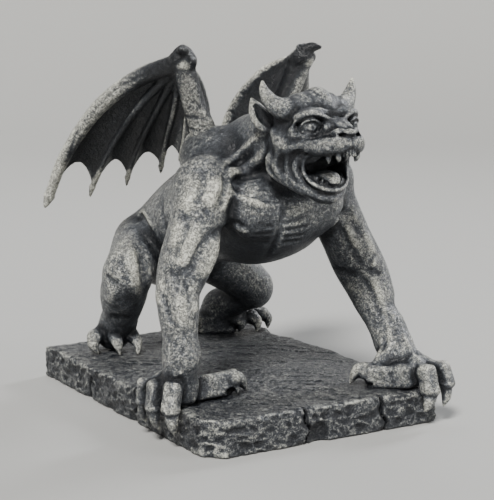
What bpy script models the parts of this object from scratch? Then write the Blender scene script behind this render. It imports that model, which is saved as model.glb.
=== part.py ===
"""Winged gargoyle crouching on a rough slab: plinth, figure and two wings.

The frame is metres with +Z up. The origin is the middle of the plinth's underside.
The creature looks along -Y, so its right side is at -X. Lengths below are millimetres,
and MM turns them into metres where a vertex is made.
"""

import math

import bmesh
import bpy
import numpy as np
from mathutils import Vector

MM = 0.001

# Driving sizes, in millimetres.
PLINTH_WIDTH = 125.0
PLINTH_DEPTH = 179.0
PLINTH_HEIGHT = 17.0
GAP = 0.3

# Surface fineness. The slab's outline is stepped along its front, right, back and left side and its cut corner.
SIDE_STEPS = (20, 30, 21, 28, 2)
OUTLINE_STEP = 6.0
FIGURE_VOXEL = 1.25
FIGURE_KEEP = 0.036
WING_VOXEL = 0.9
WING_KEEP = 0.036
RING_SIDES = 16

# Joints of the body. The right side is -X.
SHOULDER_RIGHT = Vector((-36, -40, 112))
ELBOW_RIGHT = Vector((-56, -51, 70))
WRIST_RIGHT = Vector((-58, -58, 40))
SHOULDER_LEFT = Vector((31, -37, 108))
ELBOW_LEFT = Vector((50, -42, 69))
WRIST_LEFT = Vector((54.5, -60, 37))
HIP_RIGHT = Vector((-15, 62, 71))
KNEE_RIGHT = Vector((-38, 36, 61))
ANKLE_RIGHT = Vector((-34, 56, 31))
HIP_LEFT = Vector((15, 64, 71))
KNEE_LEFT = Vector((44.5, 50, 44.5))
ANKLE_LEFT = Vector((34, 68, 30))
SKULL = Vector((0, -71, 140))

# Joints of the right wing; the left one mirrors them.
WING_ROOT = Vector((-18, -14, 127))
WING_WRIST = Vector((-33, -13.5, 169))
WING_TIP = Vector((-74, 53, 96))
# The band behind the arm bone, from under the wrist down to the spine.
WING_BAND = ((-21.6, -2.4, 164.2), (-15.2, 2, 158), (-10.4, 5.8, 151), (-6.6, 9.5, 142), (-4.4, 12.5, 130))


def clear_scene():
    for old in list(bpy.data.objects):
        bpy.data.objects.remove(old, do_unlink=True)


def stone(name, colour, roughness):
    material = bpy.data.materials.new(name)
    material.use_nodes = True
    shader = material.node_tree.nodes["Principled BSDF"]
    shader.inputs["Base Color"].default_value = (*colour, 1.0)
    shader.inputs["Roughness"].default_value = roughness
    shader.inputs["Metallic"].default_value = 0.0
    return material


def smooth_curve(stations, steps=5):
    """Rows (x, y, z, radius) on a Catmull-Rom curve through the stations."""
    rows = np.array(stations, dtype=float)
    rows = np.vstack([2 * rows[0] - rows[1], rows, 2 * rows[-1] - rows[-2]])
    out = []
    for before, start, end, after in zip(rows[:-3], rows[1:-2], rows[2:-1], rows[3:]):
        for t in np.arange(steps) / steps:
            linear = t * (end - before)
            square = t * t * (2 * before - 5 * start + 4 * end - after)
            cube = t ** 3 * (3 * (start - end) + after - before)
            out.append(start + 0.5 * (linear + square + cube))
    out.append(rows[-2])
    return np.array(out)


def add_limb(bm, stations, flatten=(0, 0, 1), ratio=1.0):
    """A closed round-ended tube through stations (x, y, z, radius), thinner by ratio along flatten."""
    rows = smooth_curve(stations)
    rows[:, 3] = np.maximum(rows[:, 3], 0.5)
    points = [Vector(row[:3]) for row in rows]
    thin = Vector(flatten).normalized()
    rings = []
    last = len(rows) - 1
    side = (points[1] - points[0]).orthogonal().normalized()
    for i, (centre, radius) in enumerate(zip(points, rows[:, 3])):
        along = (points[min(i + 1, last)] - points[max(i - 1, 0)]).normalized()
        side = (side - along * side.dot(along)).normalized()
        other = along.cross(side)
        if i == 0:
            caps = [(-0.95, 0.3), (-0.7, 0.7), (0.0, 1.0)]
        elif i == last:
            caps = [(0.0, 1.0), (0.7, 0.7), (0.95, 0.3)]
        else:
            caps = [(0.0, 1.0)]
        for shift, scale in caps:
            ring = []
            for k in range(RING_SIDES):
                angle = 2 * math.pi * k / RING_SIDES
                spoke = (side * math.cos(angle) + other * math.sin(angle)) * radius * scale
                spoke -= thin * spoke.dot(thin) * (1 - ratio)
                ring.append(bm.verts.new((centre + along * radius * shift + spoke) * MM))
            rings.append(ring)
    for lower, upper in zip(rings[:-1], rings[1:]):
        for k in range(RING_SIDES):
            n = (k + 1) % RING_SIDES
            bm.faces.new((lower[k], lower[n], upper[n], upper[k]))
    bm.faces.new(list(reversed(rings[0])))
    bm.faces.new(rings[-1])


def add_mass(bm, centre, radii):
    """A closed ellipsoid: the bulk of a body part or of a muscle."""
    made = bmesh.ops.create_uvsphere(bm, u_segments=24, v_segments=14, radius=1.0)
    for vertex in made["verts"]:
        vertex.co = Vector(c + r * v for c, r, v in zip(centre, radii, vertex.co)) * MM


def station(point, radius):
    return (point.x, point.y, point.z, radius)


def between(start, end, share, lift=(0, 0, 0)):
    return start.lerp(end, share) + Vector(lift)


def add_digit(bm, base, knuckle, bend, tip, thickness):
    """A finger or a toe from its base over the knuckle, with a tapering claw from bend to tip."""
    add_limb(bm, [station(base, thickness * 1.15), station(knuckle, thickness), station(bend, thickness * 0.85)])
    claw = between(bend, tip, 0.5, (0, 0, thickness * 0.15))
    add_limb(bm, [station(bend, thickness * 0.7), station(claw, thickness * 0.55), station(tip, 0.6)])


def add_torso(bm):
    """Chest, loin and rump, with the muscles that show in the outline."""
    add_mass(bm, (1, -27, 101), (33, 36, 27))
    add_mass(bm, (0, -24, 117), (30, 25, 20))
    trunk = [(0, -20, 98, 27), (0, 20, 91, 25), (0, 50, 77, 24.5), (0, 64, 70, 24)]
    add_limb(bm, trunk)
    add_mass(bm, (0, -50, 117), (18, 12, 12))
    for side in (-1, 1):
        add_mass(bm, (side * 15, -49, 103), (17, 13, 15))
        add_mass(bm, (side * 19, -14, 121), (12, 17, 10))
        add_limb(bm, [(side * 33, -38, 113, 12), (side * 23, -24, 121, 12.5), (side * 15, -10, 125, 12)])
        for rib in range(5):
            start = -24 + 9 * rib
            arc = [(side * 20, start, 112, 2), (side * (29 - rib), start - 5, 99, 2.6), (side * 21, start - 12, 84, 2)]
            add_limb(bm, arc)
    for x, y, z, radius in smooth_curve(trunk)[4:]:
        add_mass(bm, (x, y + 0.2 * radius, z + 0.98 * radius), (3.5, 3.5, 3.0))


def add_neck(bm):
    add_limb(bm, [(0, -30, 126, 19), (0, -50, 132, 17.5), (0, -64, 137, 15)])
    for side in (-1, 1):
        add_limb(bm, [(side * 33, -50, 118, 4), (side * 20, -45, 121, 5), (side * 15, -59, 130, 4)])


def add_arm(bm, shoulder, elbow, wrist):
    outward = 1 if shoulder.x > 0 else -1
    add_limb(
        bm,
        [
            station(shoulder, 15),
            station(between(shoulder, elbow, 0.45), 12),
            station(between(shoulder, elbow, 0.75), 11.8),
            station(elbow, 10.5),
        ],
    )
    add_limb(
        bm,
        [
            station(elbow, 10.2),
            station(between(elbow, wrist, 0.35, (outward * 0.5, 2, 0)), 9.8),
            station(between(elbow, wrist, 0.7), 8.4),
            station(wrist, 8.4),
        ],
    )
    add_mass(bm, between(shoulder, elbow, 0.15, (outward * 3, -2, 0)), (13, 13, 15))
    add_mass(bm, between(shoulder, elbow, 0.6, (0, 6, 0)), (8, 9, 13))
    add_mass(bm, between(shoulder, elbow, 0.6, (0, -5, 0)), (8, 9, 13))


def add_right_hand(bm):
    """Three fingers over the long edge of the plinth, and a thumb that lies across its top."""
    palm = Vector((-57, -54, 29))
    add_limb(bm, [station(WRIST_RIGHT, 8.4), station(palm, 9)])
    reach = -PLINTH_WIDTH / 2
    for along, drop in ((-42.5, 6), (-52, 6), (-61.5, 7)):
        knuckle = Vector((reach - 5, along, PLINTH_HEIGHT + 9))
        bend = Vector((reach - 6.5, along, PLINTH_HEIGHT - 1))
        tip = Vector((reach - 4, along + 0.2 * (along + 50), drop))
        add_digit(bm, palm, knuckle, bend, tip, 4.8)
    thumb = Vector((-32, -52, PLINTH_HEIGHT + 9))
    add_digit(bm, Vector((-50, -53, 27)), between(palm, thumb, 0.6), thumb, Vector((-20, -49, 18)), 4.8)


def add_left_hand(bm):
    """Two fingers over the front edge of the plinth, and a thumb that lies along its top."""
    palm = Vector((54, -69, 28))
    add_limb(bm, [station(WRIST_LEFT, 8.8), station(palm, 9)])
    reach = -PLINTH_DEPTH / 2
    for across, end, drop in ((54, 51.5, 7), (64, 62.8, 9)):
        knuckle = Vector((across, reach - 2, PLINTH_HEIGHT + 8.5))
        bend = Vector((across + 0.5, reach - 5.5, PLINTH_HEIGHT - 1))
        tip = Vector((end, reach - 3.5, drop))
        add_digit(bm, palm, knuckle, bend, tip, 5.0)
    thumb = Vector((35, -68.5, PLINTH_HEIGHT + 6.5))
    add_digit(bm, Vector((52, -76, 24)), Vector((44, -75, 22.5)), thumb, Vector((29, -64, 18)), 4.6)


def add_leg(bm, hip, knee, ankle):
    add_limb(bm, [station(hip, 18), station(between(hip, knee, 0.6, (0, 0, 2)), 14), station(knee, 12)])
    calf = between(knee, ankle, 0.4, (0, 0, -1))
    add_limb(bm, [station(knee, 11.5), station(calf, 11.5), station(between(knee, ankle, 0.8), 9.5), station(ankle, 8)])


def add_foot(bm, ankle, heel, toes):
    """A clawed foot: each toe arches from the heel to its knuckle and bends down to the plinth."""
    add_limb(bm, [station(ankle, 8.5), station(heel, 8)])
    for knuckle, tip in toes:
        knuckle = Vector(knuckle)
        tip = Vector(tip)
        add_digit(bm, heel, knuckle, between(knuckle, tip, 0.35), tip, 4.6)


def add_feet(bm):
    right = [((-46.8, 57, 25), (-47.6, 52, 17)), ((-38, 52.5, 25.6), (-38, 46, 17)), ((-29.5, 50, 25), (-30, 42, 17))]
    left = [((41.5, 64.6, 24), (42.5, 62, 17)), ((50, 62, 24.4), (51, 57, 17)), ((59.5, 66, 24), (60.5, 61.5, 17))]
    add_foot(bm, ANKLE_RIGHT, Vector((-34, 62, 25)), right)
    add_foot(bm, ANKLE_LEFT, Vector((32, 70, 24)), left)


def add_skull(bm):
    """Cranium with three lobes, muzzle with its lip bulbs, and the open lower jaw with its tongue."""
    add_mass(bm, SKULL, (16.5, 18, 16.5))
    add_mass(bm, SKULL + Vector((0, -6, 7)), (8.5, 11, 12))
    add_limb(bm, [(0, -84, 134.5, 13), (0, -94, 135.5, 9.5), (0, -100, 136, 6.8)], ratio=0.8)
    add_mass(bm, (0, -100.5, 140.5), (5.5, 4, 2.8))
    add_limb(bm, [(0, -94, 145.5, 3), (0, -100, 141.5, 3)])
    for side in (-1, 1):
        add_mass(bm, SKULL + Vector((side * 7.2, -4, 7.5)), (7, 11, 8.8))
        add_mass(bm, SKULL + Vector((side * 13, -3, -6)), (5, 9, 11))
        add_mass(bm, (side * 3.8, -101.4, 136), (4, 4.4, 4.6))
        cheek = [(side * 14, -67, 126, 5.2), (side * 13.2, -73.5, 119.6, 4.8), (side * 9.8, -81.5, 114.4, 4.6)]
        add_limb(bm, cheek + [(side * 5.8, -87.5, 111.4, 4.2), (0, -90.2, 110.6, 3.8)])
        add_limb(bm, [(side * 12.2, -77, 131, 4), (side * 12.6, -78.5, 124, 4.6), (side * 11, -82, 118, 4)])
    add_mass(bm, (0, -78, 115), (10, 11, 5.4))
    add_limb(bm, [(0, -79, 119, 5.5), (0, -88, 120, 4.8), (0, -93, 118, 3)], ratio=0.6)


def add_face(bm, side):
    """One half of the face: brow, eye, cheekbone, horn, ear and two fangs."""
    brow = [(2, -93.4, 146, 2.4), (6, -92, 147.4, 3), (11, -89.5, 147.8, 3), (15.2, -84.5, 144.8, 2.2)]
    add_limb(bm, [(side * x, y, z, radius) for x, y, z, radius in brow])
    add_mass(bm, (side * 9.5, -85.3, 142.5), (4.8, 4.8, 4.8))
    cheekbone = [(17, -70, 138, 2.4), (16.4, -76, 134, 3.4), (14.2, -84, 134.2, 3.2), (10.6, -93, 135, 3)]
    add_limb(bm, [(side * x, y, z, radius) for x, y, z, radius in cheekbone])
    horn = [(11.5, -76.5, 147.6, 4.8), (16.4, -74.2, 149.8, 4.4), (20.2, -72, 153, 3.3), (22.9, -70.6, 157, 2.3)]
    add_limb(bm, [(side * x, y, z, radius) for x, y, z, radius in horn] + [(side * 23.8, -70.2, 161, 0.8)])
    ear = [(15.6, -65, 140.6, 3.6), (18.2, -63, 143.6, 4.8), (20.6, -60.8, 147.6, 3.9), (22.6, -59, 153.4, 0.9)]
    add_limb(bm, [(side * x, y, z, radius) for x, y, z, radius in ear], flatten=(side * 0.5, -0.85, 0.1), ratio=0.5)
    for across, along, drop in ((7.3, -97.4, 4.6), (5.0, -101.8, 3.8)):
        root = (side * across, along, 131.5, 1.7)
        add_limb(bm, [root, (side * across * 0.96, along, 131.5 - drop, 0.8)])


def add_head(bm):
    """Skull and jaws, and the two halves of the face."""
    add_skull(bm)
    for side in (-1, 1):
        add_face(bm, side)


def add_wing_cuffs(bm):
    """The raised rings of the back in which the wing roots sit."""
    for side in (-1, 1):
        root = Vector((side * abs(WING_ROOT.x), WING_ROOT.y, WING_ROOT.z))
        for k in range(10):
            angle = 2 * math.pi * k / 10
            spot = root + Vector((7.5 * math.cos(angle), 9.5 * math.sin(angle), 3.5))
            add_mass(bm, spot, (4, 4, 5))


def outline_inset(place):
    """How far the hewn edge falls short of the full rectangle, at a distance along the outline."""
    waves = 0.5 * math.sin(place / 7.1) + 0.35 * math.sin(place / 3.3 + 1.0) + 0.25 * math.sin(place / 1.9)
    return 0.6 + 0.5 * waves


def slab_outline(inset, spread, corner_cut):
    """Points round the slab: a rectangle with a cut front right corner and a hewn, wavering edge."""
    half_x = PLINTH_WIDTH / 2 + spread
    half_y = PLINTH_DEPTH / 2 + spread
    corners = [
        Vector((-half_x + corner_cut, -half_y)),
        Vector((half_x, -half_y)),
        Vector((half_x, half_y)),
        Vector((-half_x, half_y)),
        Vector((-half_x, -half_y + corner_cut)),
    ]
    points = []
    for start, end, count in zip(corners, corners[1:] + corners[:1], SIDE_STEPS):
        inward = Vector((-(end - start).y, (end - start).x)).normalized()
        for k in range(count):
            depth = inset * outline_inset(OUTLINE_STEP * len(points)) if k else 0.0
            points.append(start.lerp(end, k / count) + inward * depth)
    return points


def build_slab(name, spread, bottom, top):
    """The slab as three outlines joined by hewn side faces."""
    bm = bmesh.new()
    middle = bottom + 0.6 * (top - bottom)
    levels = [(bottom, 1.2, 7.0), (middle, 0.6, 8.5), (top, 2.2, 8.5)]
    rings = []
    for height, inset, corner_cut in levels:
        outline = slab_outline(inset, spread, corner_cut)
        rings.append([bm.verts.new(Vector((p.x, p.y, height)) * MM) for p in outline])
    count = len(rings[0])
    for lower, upper in zip(rings[:-1], rings[1:]):
        for k in range(count):
            n = (k + 1) % count
            bm.faces.new((lower[k], lower[n], upper[n], upper[k]))
    bm.faces.new(list(reversed(rings[0])))
    bm.faces.new(rings[-1])
    return object_from(bm, name)


def object_from(bm, name):
    bmesh.ops.recalc_face_normals(bm, faces=bm.faces)
    mesh = bpy.data.meshes.new(name)
    bm.to_mesh(mesh)
    bm.free()
    made = bpy.data.objects.new(name, mesh)
    bpy.context.scene.collection.objects.link(made)
    return made


def hide_cutter(cutter):
    cutter.hide_render = True
    cutter.display_type = "WIRE"


def subtract(target, cutter):
    cut = target.modifiers.new("cut_by_" + cutter.name, "BOOLEAN")
    cut.operation = "DIFFERENCE"
    cut.solver = "EXACT"
    cut.object = cutter
    hide_cutter(cutter)


def fuse_and_thin(target, voxel, keep):
    """Melt the overlapping solids of a mesh into one skin, smooth it and thin its triangles."""
    remesh = target.modifiers.new("fuse", "REMESH")
    remesh.mode = "VOXEL"
    remesh.voxel_size = voxel * MM
    soften = target.modifiers.new("soften", "SMOOTH")
    soften.factor = 0.5
    soften.iterations = 3
    thin = target.modifiers.new("thin", "DECIMATE")
    thin.ratio = keep


def build_crack(name, corner, direction, width, height):
    """A wedge that opens a crack in one side of the slab, from the underside or the top."""
    bm = bmesh.new()
    along = Vector(direction).normalized()
    across = Vector((-along.y, along.x, 0))
    profile = [(-3.0, 1.0), (2.0, 1.0), (5.5, 0.15)]
    rings = []
    for level, lean in ((-1.0, -0.6), (height * 0.5, 0.7), (height, -0.2)):
        ring = []
        for depth, share in profile:
            ring.append(Vector(corner) + along * depth + across * (width * share / 2 + lean))
        for depth, share in reversed(profile):
            ring.append(Vector(corner) + along * depth + across * (lean - width * share / 2))
        rings.append([bm.verts.new(Vector((p.x, p.y, corner[2] + level)) * MM) for p in ring])
    count = len(rings[0])
    for lower, upper in zip(rings[:-1], rings[1:]):
        for k in range(count):
            n = (k + 1) % count
            bm.faces.new((lower[k], lower[n], upper[n], upper[k]))
    bm.faces.new(list(reversed(rings[0])))
    bm.faces.new(rings[-1])
    cutter = object_from(bm, name)
    hide_cutter(cutter)
    return cutter


def build_plinth(material):
    plinth = build_slab("plinth", 0.0, 0.0, PLINTH_HEIGHT)
    plinth.data.materials.append(material)
    side_x = PLINTH_WIDTH / 2
    side_y = PLINTH_DEPTH / 2
    full = PLINTH_HEIGHT + 2
    cracks = [
        ((-side_x, 33, 0), (1, 0, 0), 2.6, 11),
        ((-side_x, -17, 0), (1, 0, 0), 2.4, full),
        ((-11, -side_y, 0), (0, 1, 0), 3.0, full),
        ((31, -side_y, 0), (0, 1, 0), 2.8, full),
    ]
    for number, (corner, direction, width, height) in enumerate(cracks):
        subtract(plinth, build_crack(f"crack_{number + 1}", corner, direction, width, height))
    return plinth


def build_figure(material, plinth_clearance):
    bm = bmesh.new()
    add_torso(bm)
    add_neck(bm)
    add_arm(bm, SHOULDER_RIGHT, ELBOW_RIGHT, WRIST_RIGHT)
    add_arm(bm, SHOULDER_LEFT, ELBOW_LEFT, WRIST_LEFT)
    add_right_hand(bm)
    add_left_hand(bm)
    add_leg(bm, HIP_RIGHT, KNEE_RIGHT, ANKLE_RIGHT)
    add_leg(bm, HIP_LEFT, KNEE_LEFT, ANKLE_LEFT)
    add_feet(bm)
    add_head(bm)
    add_wing_cuffs(bm)
    figure = object_from(bm, "figure")
    figure.data.materials.append(material)
    fuse_and_thin(figure, FIGURE_VOXEL, FIGURE_KEEP)
    subtract(figure, plinth_clearance)
    return figure


def wing_finger(side, number):
    """Stations (x, y, z) of one finger bone of a wing, from the wrist to its tip."""
    wrist = WING_WRIST
    bones = [
        [wrist, Vector((-45, 5, 161)), Vector((-58, 24, 146)), Vector((-69, 41, 122)), WING_TIP],
        [wrist, Vector((-43, 12, 146)), Vector((-48, 34, 124)), Vector((-50, 52, 101))],
        [wrist, Vector((-35, 8, 145)), Vector((-34, 30, 126)), Vector((-31, 51, 105))],
        [wrist, Vector((-29, 2, 146)), Vector((-23.5, 20, 131)), Vector((-17, 39, 111))],
        [wrist, Vector((-27, -8, 148)), Vector((-22, 4, 132)), Vector((-17, 18, 119))],
    ]
    return [Vector((-side * p.x, p.y, p.z)) for p in bones[number]]


def add_membrane(bm, first, second, thickness, sag):
    """The skin between two finger bones, hollowed between them and scalloped at its free edge."""
    bone_a = smooth_curve([(*p, 0) for p in first], 6)[:, :3]
    bone_b = smooth_curve([(*p, 0) for p in second], 6)[:, :3]
    rows = 14
    columns = 7
    place = np.linspace(0.02, 1.0, rows)
    steps_a = np.linspace(0, 1, len(bone_a))
    steps_b = np.linspace(0, 1, len(bone_b))
    front = []
    back = []
    for column in np.linspace(0, 1, columns):
        hollow = math.sin(math.pi * column)
        reach = place * (1 - 0.16 * hollow)
        edge_a = np.stack([np.interp(reach, steps_a, bone_a[:, i]) for i in range(3)], 1)
        edge_b = np.stack([np.interp(reach, steps_b, bone_b[:, i]) for i in range(3)], 1)
        line = edge_a * (1 - column) + edge_b * column
        normal = Vector(bone_a[-1] - bone_a[0]).cross(Vector(bone_b[-1] - bone_a[0])).normalized()
        offset = np.array(normal) * sag * hollow * np.sin(np.pi * place * 0.8)[:, None]
        skin = np.array(normal) * thickness / 2
        front.append([bm.verts.new(Vector(p) * MM) for p in line + offset + skin])
        back.append([bm.verts.new(Vector(p) * MM) for p in line + offset - skin])
    for sheet, order in ((front, 1), (back, -1)):
        for i in range(columns - 1):
            for j in range(rows - 1):
                face = (sheet[i][j], sheet[i + 1][j], sheet[i + 1][j + 1], sheet[i][j + 1])
                bm.faces.new(face[::order])
    rim = [(i, 0) for i in range(columns)] + [(columns - 1, j) for j in range(1, rows)]
    rim += [(i, rows - 1) for i in range(columns - 2, -1, -1)] + [(0, j) for j in range(rows - 2, 0, -1)]
    for (i, j), (m, n) in zip(rim, rim[1:] + rim[:1]):
        bm.faces.new((front[m][n], front[i][j], back[i][j], back[m][n]))


def build_wing(name, side, material, figure_clearance):
    """A bat wing: arm bone, five finger bones, skin between them, wrist collar and thumb claw."""
    bm = bmesh.new()
    mirror = Vector((-side, 1, 1))
    root = WING_ROOT * mirror
    wrist = WING_WRIST * mirror
    elbow = Vector((side * 24, -10, 148))
    add_limb(bm, [station(root, 7.5), station(elbow, 5.8), station(wrist, 5.2)])
    bones = [wing_finger(side, number) for number in range(5)]
    thickness = [(5.0, 4.4, 3.8, 3.0, 1.3)] + [(3.6, 2.7, 2.3, 1.4)] * 4
    for bone, girths in zip(bones, thickness):
        add_limb(bm, [station(p, r) for p, r in zip(bone, girths)])
    for first, second in zip(bones[:-1], bones[1:]):
        add_membrane(bm, first, second, 2.4, 2.5 * side)
    arm = [wrist, elbow.lerp(wrist, 0.5), elbow, root + Vector((0, 4, -4))]
    add_membrane(bm, bones[4], arm, 2.4, 0.0)
    band = [wrist] + [Vector(p) * mirror for p in WING_BAND]
    add_limb(bm, [station(p, 2.4) for p in band], flatten=(side * 0.55, 0.75, 0), ratio=0.7)
    add_membrane(bm, band, arm, 2.4, 0.0)
    claw = [(side * 33, -14, 172, 4), (side * 36, -18, 175, 2.4), (side * 39, -21, 174, 0.8)]
    add_limb(bm, claw)
    add_mass(bm, wrist, (7, 7, 5))
    wing = object_from(bm, name)
    wing.data.materials.append(material)
    fuse_and_thin(wing, WING_VOXEL, WING_KEEP)
    subtract(wing, figure_clearance)
    return wing


def inflated_copy(source, name, amount):
    """A hidden copy of an object, grown by amount, that keeps a neighbour clear of it."""
    copy = source.copy()
    copy.data = source.data.copy()
    copy.name = name
    bpy.context.scene.collection.objects.link(copy)
    grow = copy.modifiers.new("grow", "DISPLACE")
    grow.strength = amount * MM
    grow.mid_level = 0.0
    hide_cutter(copy)
    return copy


def build():
    clear_scene()
    slab_stone = stone("plinth_stone", (0.085, 0.09, 0.098), 0.8)
    body_stone = stone("figure_stone", (0.13, 0.13, 0.128), 0.72)
    wing_stone = stone("wing_stone", (0.11, 0.112, 0.112), 0.74)
    build_plinth(slab_stone)
    plinth_clearance = build_slab("plinth_clearance", 2 * GAP, -5.0, PLINTH_HEIGHT + GAP)
    figure = build_figure(body_stone, plinth_clearance)
    figure_clearance = inflated_copy(figure, "figure_clearance", 1.5 * GAP)
    build_wing("wing_right", -1, wing_stone, figure_clearance)
    build_wing("wing_left", 1, wing_stone, figure_clearance)


build()
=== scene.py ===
# %% [markdown]
# # A stone gargoyle
# A winged gargoyle leans forward on a hewn stone slab and roars. Such figurines are usually cast
# from stone powder and resin; this one is painted slate grey and dry-brushed with a warm light
# grey. The measured solids are loaded first, so that every later piece knows its place and size.

import bpy
import numpy as np
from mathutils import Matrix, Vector


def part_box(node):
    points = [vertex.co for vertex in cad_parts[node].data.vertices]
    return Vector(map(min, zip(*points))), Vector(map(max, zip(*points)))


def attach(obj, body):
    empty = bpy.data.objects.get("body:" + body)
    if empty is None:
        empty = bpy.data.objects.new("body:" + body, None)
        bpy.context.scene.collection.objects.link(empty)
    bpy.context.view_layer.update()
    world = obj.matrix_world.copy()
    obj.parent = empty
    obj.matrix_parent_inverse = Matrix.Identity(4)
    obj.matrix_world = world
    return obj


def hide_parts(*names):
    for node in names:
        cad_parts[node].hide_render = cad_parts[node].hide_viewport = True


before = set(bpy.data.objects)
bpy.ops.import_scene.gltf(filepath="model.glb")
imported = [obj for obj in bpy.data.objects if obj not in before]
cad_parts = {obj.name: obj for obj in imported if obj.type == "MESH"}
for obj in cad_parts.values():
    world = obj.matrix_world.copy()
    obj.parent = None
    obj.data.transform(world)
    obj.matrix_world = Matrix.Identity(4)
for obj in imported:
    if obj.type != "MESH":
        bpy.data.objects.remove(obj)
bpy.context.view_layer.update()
MM = 0.001
slab_low, slab_high = (np.array(corner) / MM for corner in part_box("plinth"))
print("slab from", slab_low.round(1), "to", slab_high.round(1), "mm")


# %% [markdown]
# A studio shows a small figurine with a long lens from a little above, so its sides stay nearly
# parallel. It stands on plain paper. A far, soft light from the left is the key, one from the right
# draws the thin bright edges, and two square lights fill in the shadows.

# %% Camera, floor and lights
scene = bpy.context.scene
middle = Vector((0, 0, 0.080))


def look_at(thing, place, target):
    """Put a thing at a place, and turn its -Z axis towards the target with its Y axis up."""
    thing.location = place
    thing.rotation_euler = (Vector(target) - Vector(place)).to_track_quat("-Z", "Y").to_euler()
    scene.collection.objects.link(thing)
    return thing


lens = bpy.data.cameras.new("studio_lens")
lens.sensor_width = 36.0
lens.lens = 3 * lens.sensor_width
EYE = Vector((-0.3676, -0.6319, 0.1972))
SIGHT = Vector((0.5060, 0.8460, -0.1650))  # the direction of sight
camera = look_at(bpy.data.objects.new("studio_camera", lens), EYE, EYE + SIGHT)
scene.camera = camera


def soft_light(name, place, power, size):
    """A square area light of a given side in metres and power in watts, aimed at the figurine."""
    lamp = bpy.data.lights.new(name, "AREA")
    lamp.energy = power
    lamp.size = size
    return look_at(bpy.data.objects.new(name, lamp), place, middle)


def sky_light(name, place, strength, angle, tint=(1, 1, 1)):
    """A far light that comes evenly from one side: its angle in degrees makes the shadows soft."""
    lamp = bpy.data.lights.new(name, "SUN")
    lamp.energy = strength
    lamp.angle = np.radians(angle)
    lamp.color = tint
    return look_at(bpy.data.objects.new(name, lamp), place, middle)


sky_light("key_left", (-0.62, -0.64, 1.05), 5.2, 14, (1.0, 0.985, 0.95))
sky_light("edge_right", (0.90, 0.25, 0.55), 2.0, 14, (0.95, 0.97, 1.0))
soft_light("fill_right", (0.85, -0.80, 0.45), 5.0, 0.50)
soft_light("top_back", (0.10, 0.55, 0.90), 2.0, 0.50)
world = bpy.data.worlds.new("studio_air")
scene.world = world
world.use_nodes = True
world.node_tree.nodes["Background"].inputs["Color"].default_value = (0.90, 0.93, 1.0, 1)
world.node_tree.nodes["Background"].inputs["Strength"].default_value = 0.10

# the paper lies flat round the figurine and rises all round it as a parabola, so no edge shows
FLAT, REACH, RISE = 1.3, 3.2, 0.30
UNDER = 0.0002  # the paper lies this far below the slab, so that the two don't touch
rings = np.concatenate([[0.001, 0.4, 0.9], np.linspace(FLAT, REACH, 24)])
turn = np.linspace(0, 2 * np.pi, 96, endpoint=False)
paper_z = RISE * np.clip(rings - FLAT, 0, None) ** 2 - UNDER
sheet = np.stack(np.broadcast_arrays(
    rings[:, None] * np.cos(turn), rings[:, None] * np.sin(turn), paper_z[:, None]), -1).reshape(-1, 3)
first = np.arange(len(rings) - 1)[:, None] * len(turn) + np.arange(len(turn))
after = first - np.arange(len(turn)) + (np.arange(len(turn)) + 1) % len(turn)
faces = np.stack([first, first + len(turn), after + len(turn), after], -1).reshape(-1, 4)
floor_mesh = bpy.data.meshes.new("floor")
floor_mesh.from_pydata(sheet.tolist(), [], faces.tolist() + [list(range(len(turn)))])
floor_mesh.shade_smooth()
floor = bpy.data.objects.new("floor", floor_mesh)
scene.collection.objects.link(floor)
paper = bpy.data.materials.new("pale_paper")
paper.use_nodes = True
paper.node_tree.nodes["Principled BSDF"].inputs["Base Color"].default_value = (0.42, 0.42, 0.41, 1)
paper.node_tree.nodes["Principled BSDF"].inputs["Roughness"].default_value = 0.7
floor_mesh.materials.append(paper)
print("camera", round((EYE - middle).length, 3), "m from the middle of the figurine")

# %% [markdown]
# ## Clay
# Such a figure is first modelled in clay: the sculptor presses lumps and rolls together, smooths the
# joins, and cuts folds with a tool. No surface of two parameters gives such a body, with its open
# jaws, fingers and folded skin, so it is made the sculptor's way. A block of grid points holds, at
# each point, the distance to the surface, negative inside the clay. Adding a roll is a soft
# minimum of two distances, cutting a groove is a soft maximum, and in the end the surface is drawn
# where the distance is zero. Every step works on whole arrays.

# %% A block of clay
FAR = 8.0  # a distance in mm past which the block needn't be exact


def unit(vector):
    """The same direction with a length of 1."""
    vector = np.asarray(vector, float)
    return vector / np.linalg.norm(vector)


class Clay:
    """Grid lines along x, y and z in mm, and the distance to the surface at each crossing."""

    def __init__(self, xs, ys, zs):
        self.axes = tuple(np.asarray(line, np.float32) for line in (xs, ys, zs))
        self.field = np.full([len(line) for line in self.axes], FAR, np.float32)

    def window(self, low, high):
        """The part of the block between two corners: its slices, and its x, y and z for broadcasting."""
        cut = tuple(slice(*np.searchsorted(a, (lo, hi))) for a, lo, hi in zip(self.axes, low, high))
        return cut, np.ix_(*(a[c] for a, c in zip(self.axes, cut)))

    def join(self, cut, shape, k):
        """Soft union: a blend of the two distances with share h, less k h (1 - h). The share rises
        from 0, where the old one is smaller by k, to 1, where the new one is."""
        old = self.field[cut]
        h = np.clip(0.5 + 0.5 * (old - shape) / k, 0, 1)
        self.field[cut] = old + (shape - old) * h - k * h * (1 - h)

    def cut_out(self, cut, shape, k):
        """Soft difference: the old distance and minus the shape's, blended the same way, plus k h (1 - h)."""
        old = self.field[cut]
        h = np.clip(0.5 - 0.5 * (old + shape) / k, 0, 1)
        self.field[cut] = old - (old + shape) * h + k * h * (1 - h)


def spread(stops):
    """Grid lines whose spacing changes along the way: stops are (place, spacing) pairs."""
    where, gap = zip(*stops)
    lines = [where[0]]
    while lines[-1] < where[-1]:
        lines.append(lines[-1] + np.interp(lines[-1], where, gap))
    return np.array(lines, np.float32)


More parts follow.
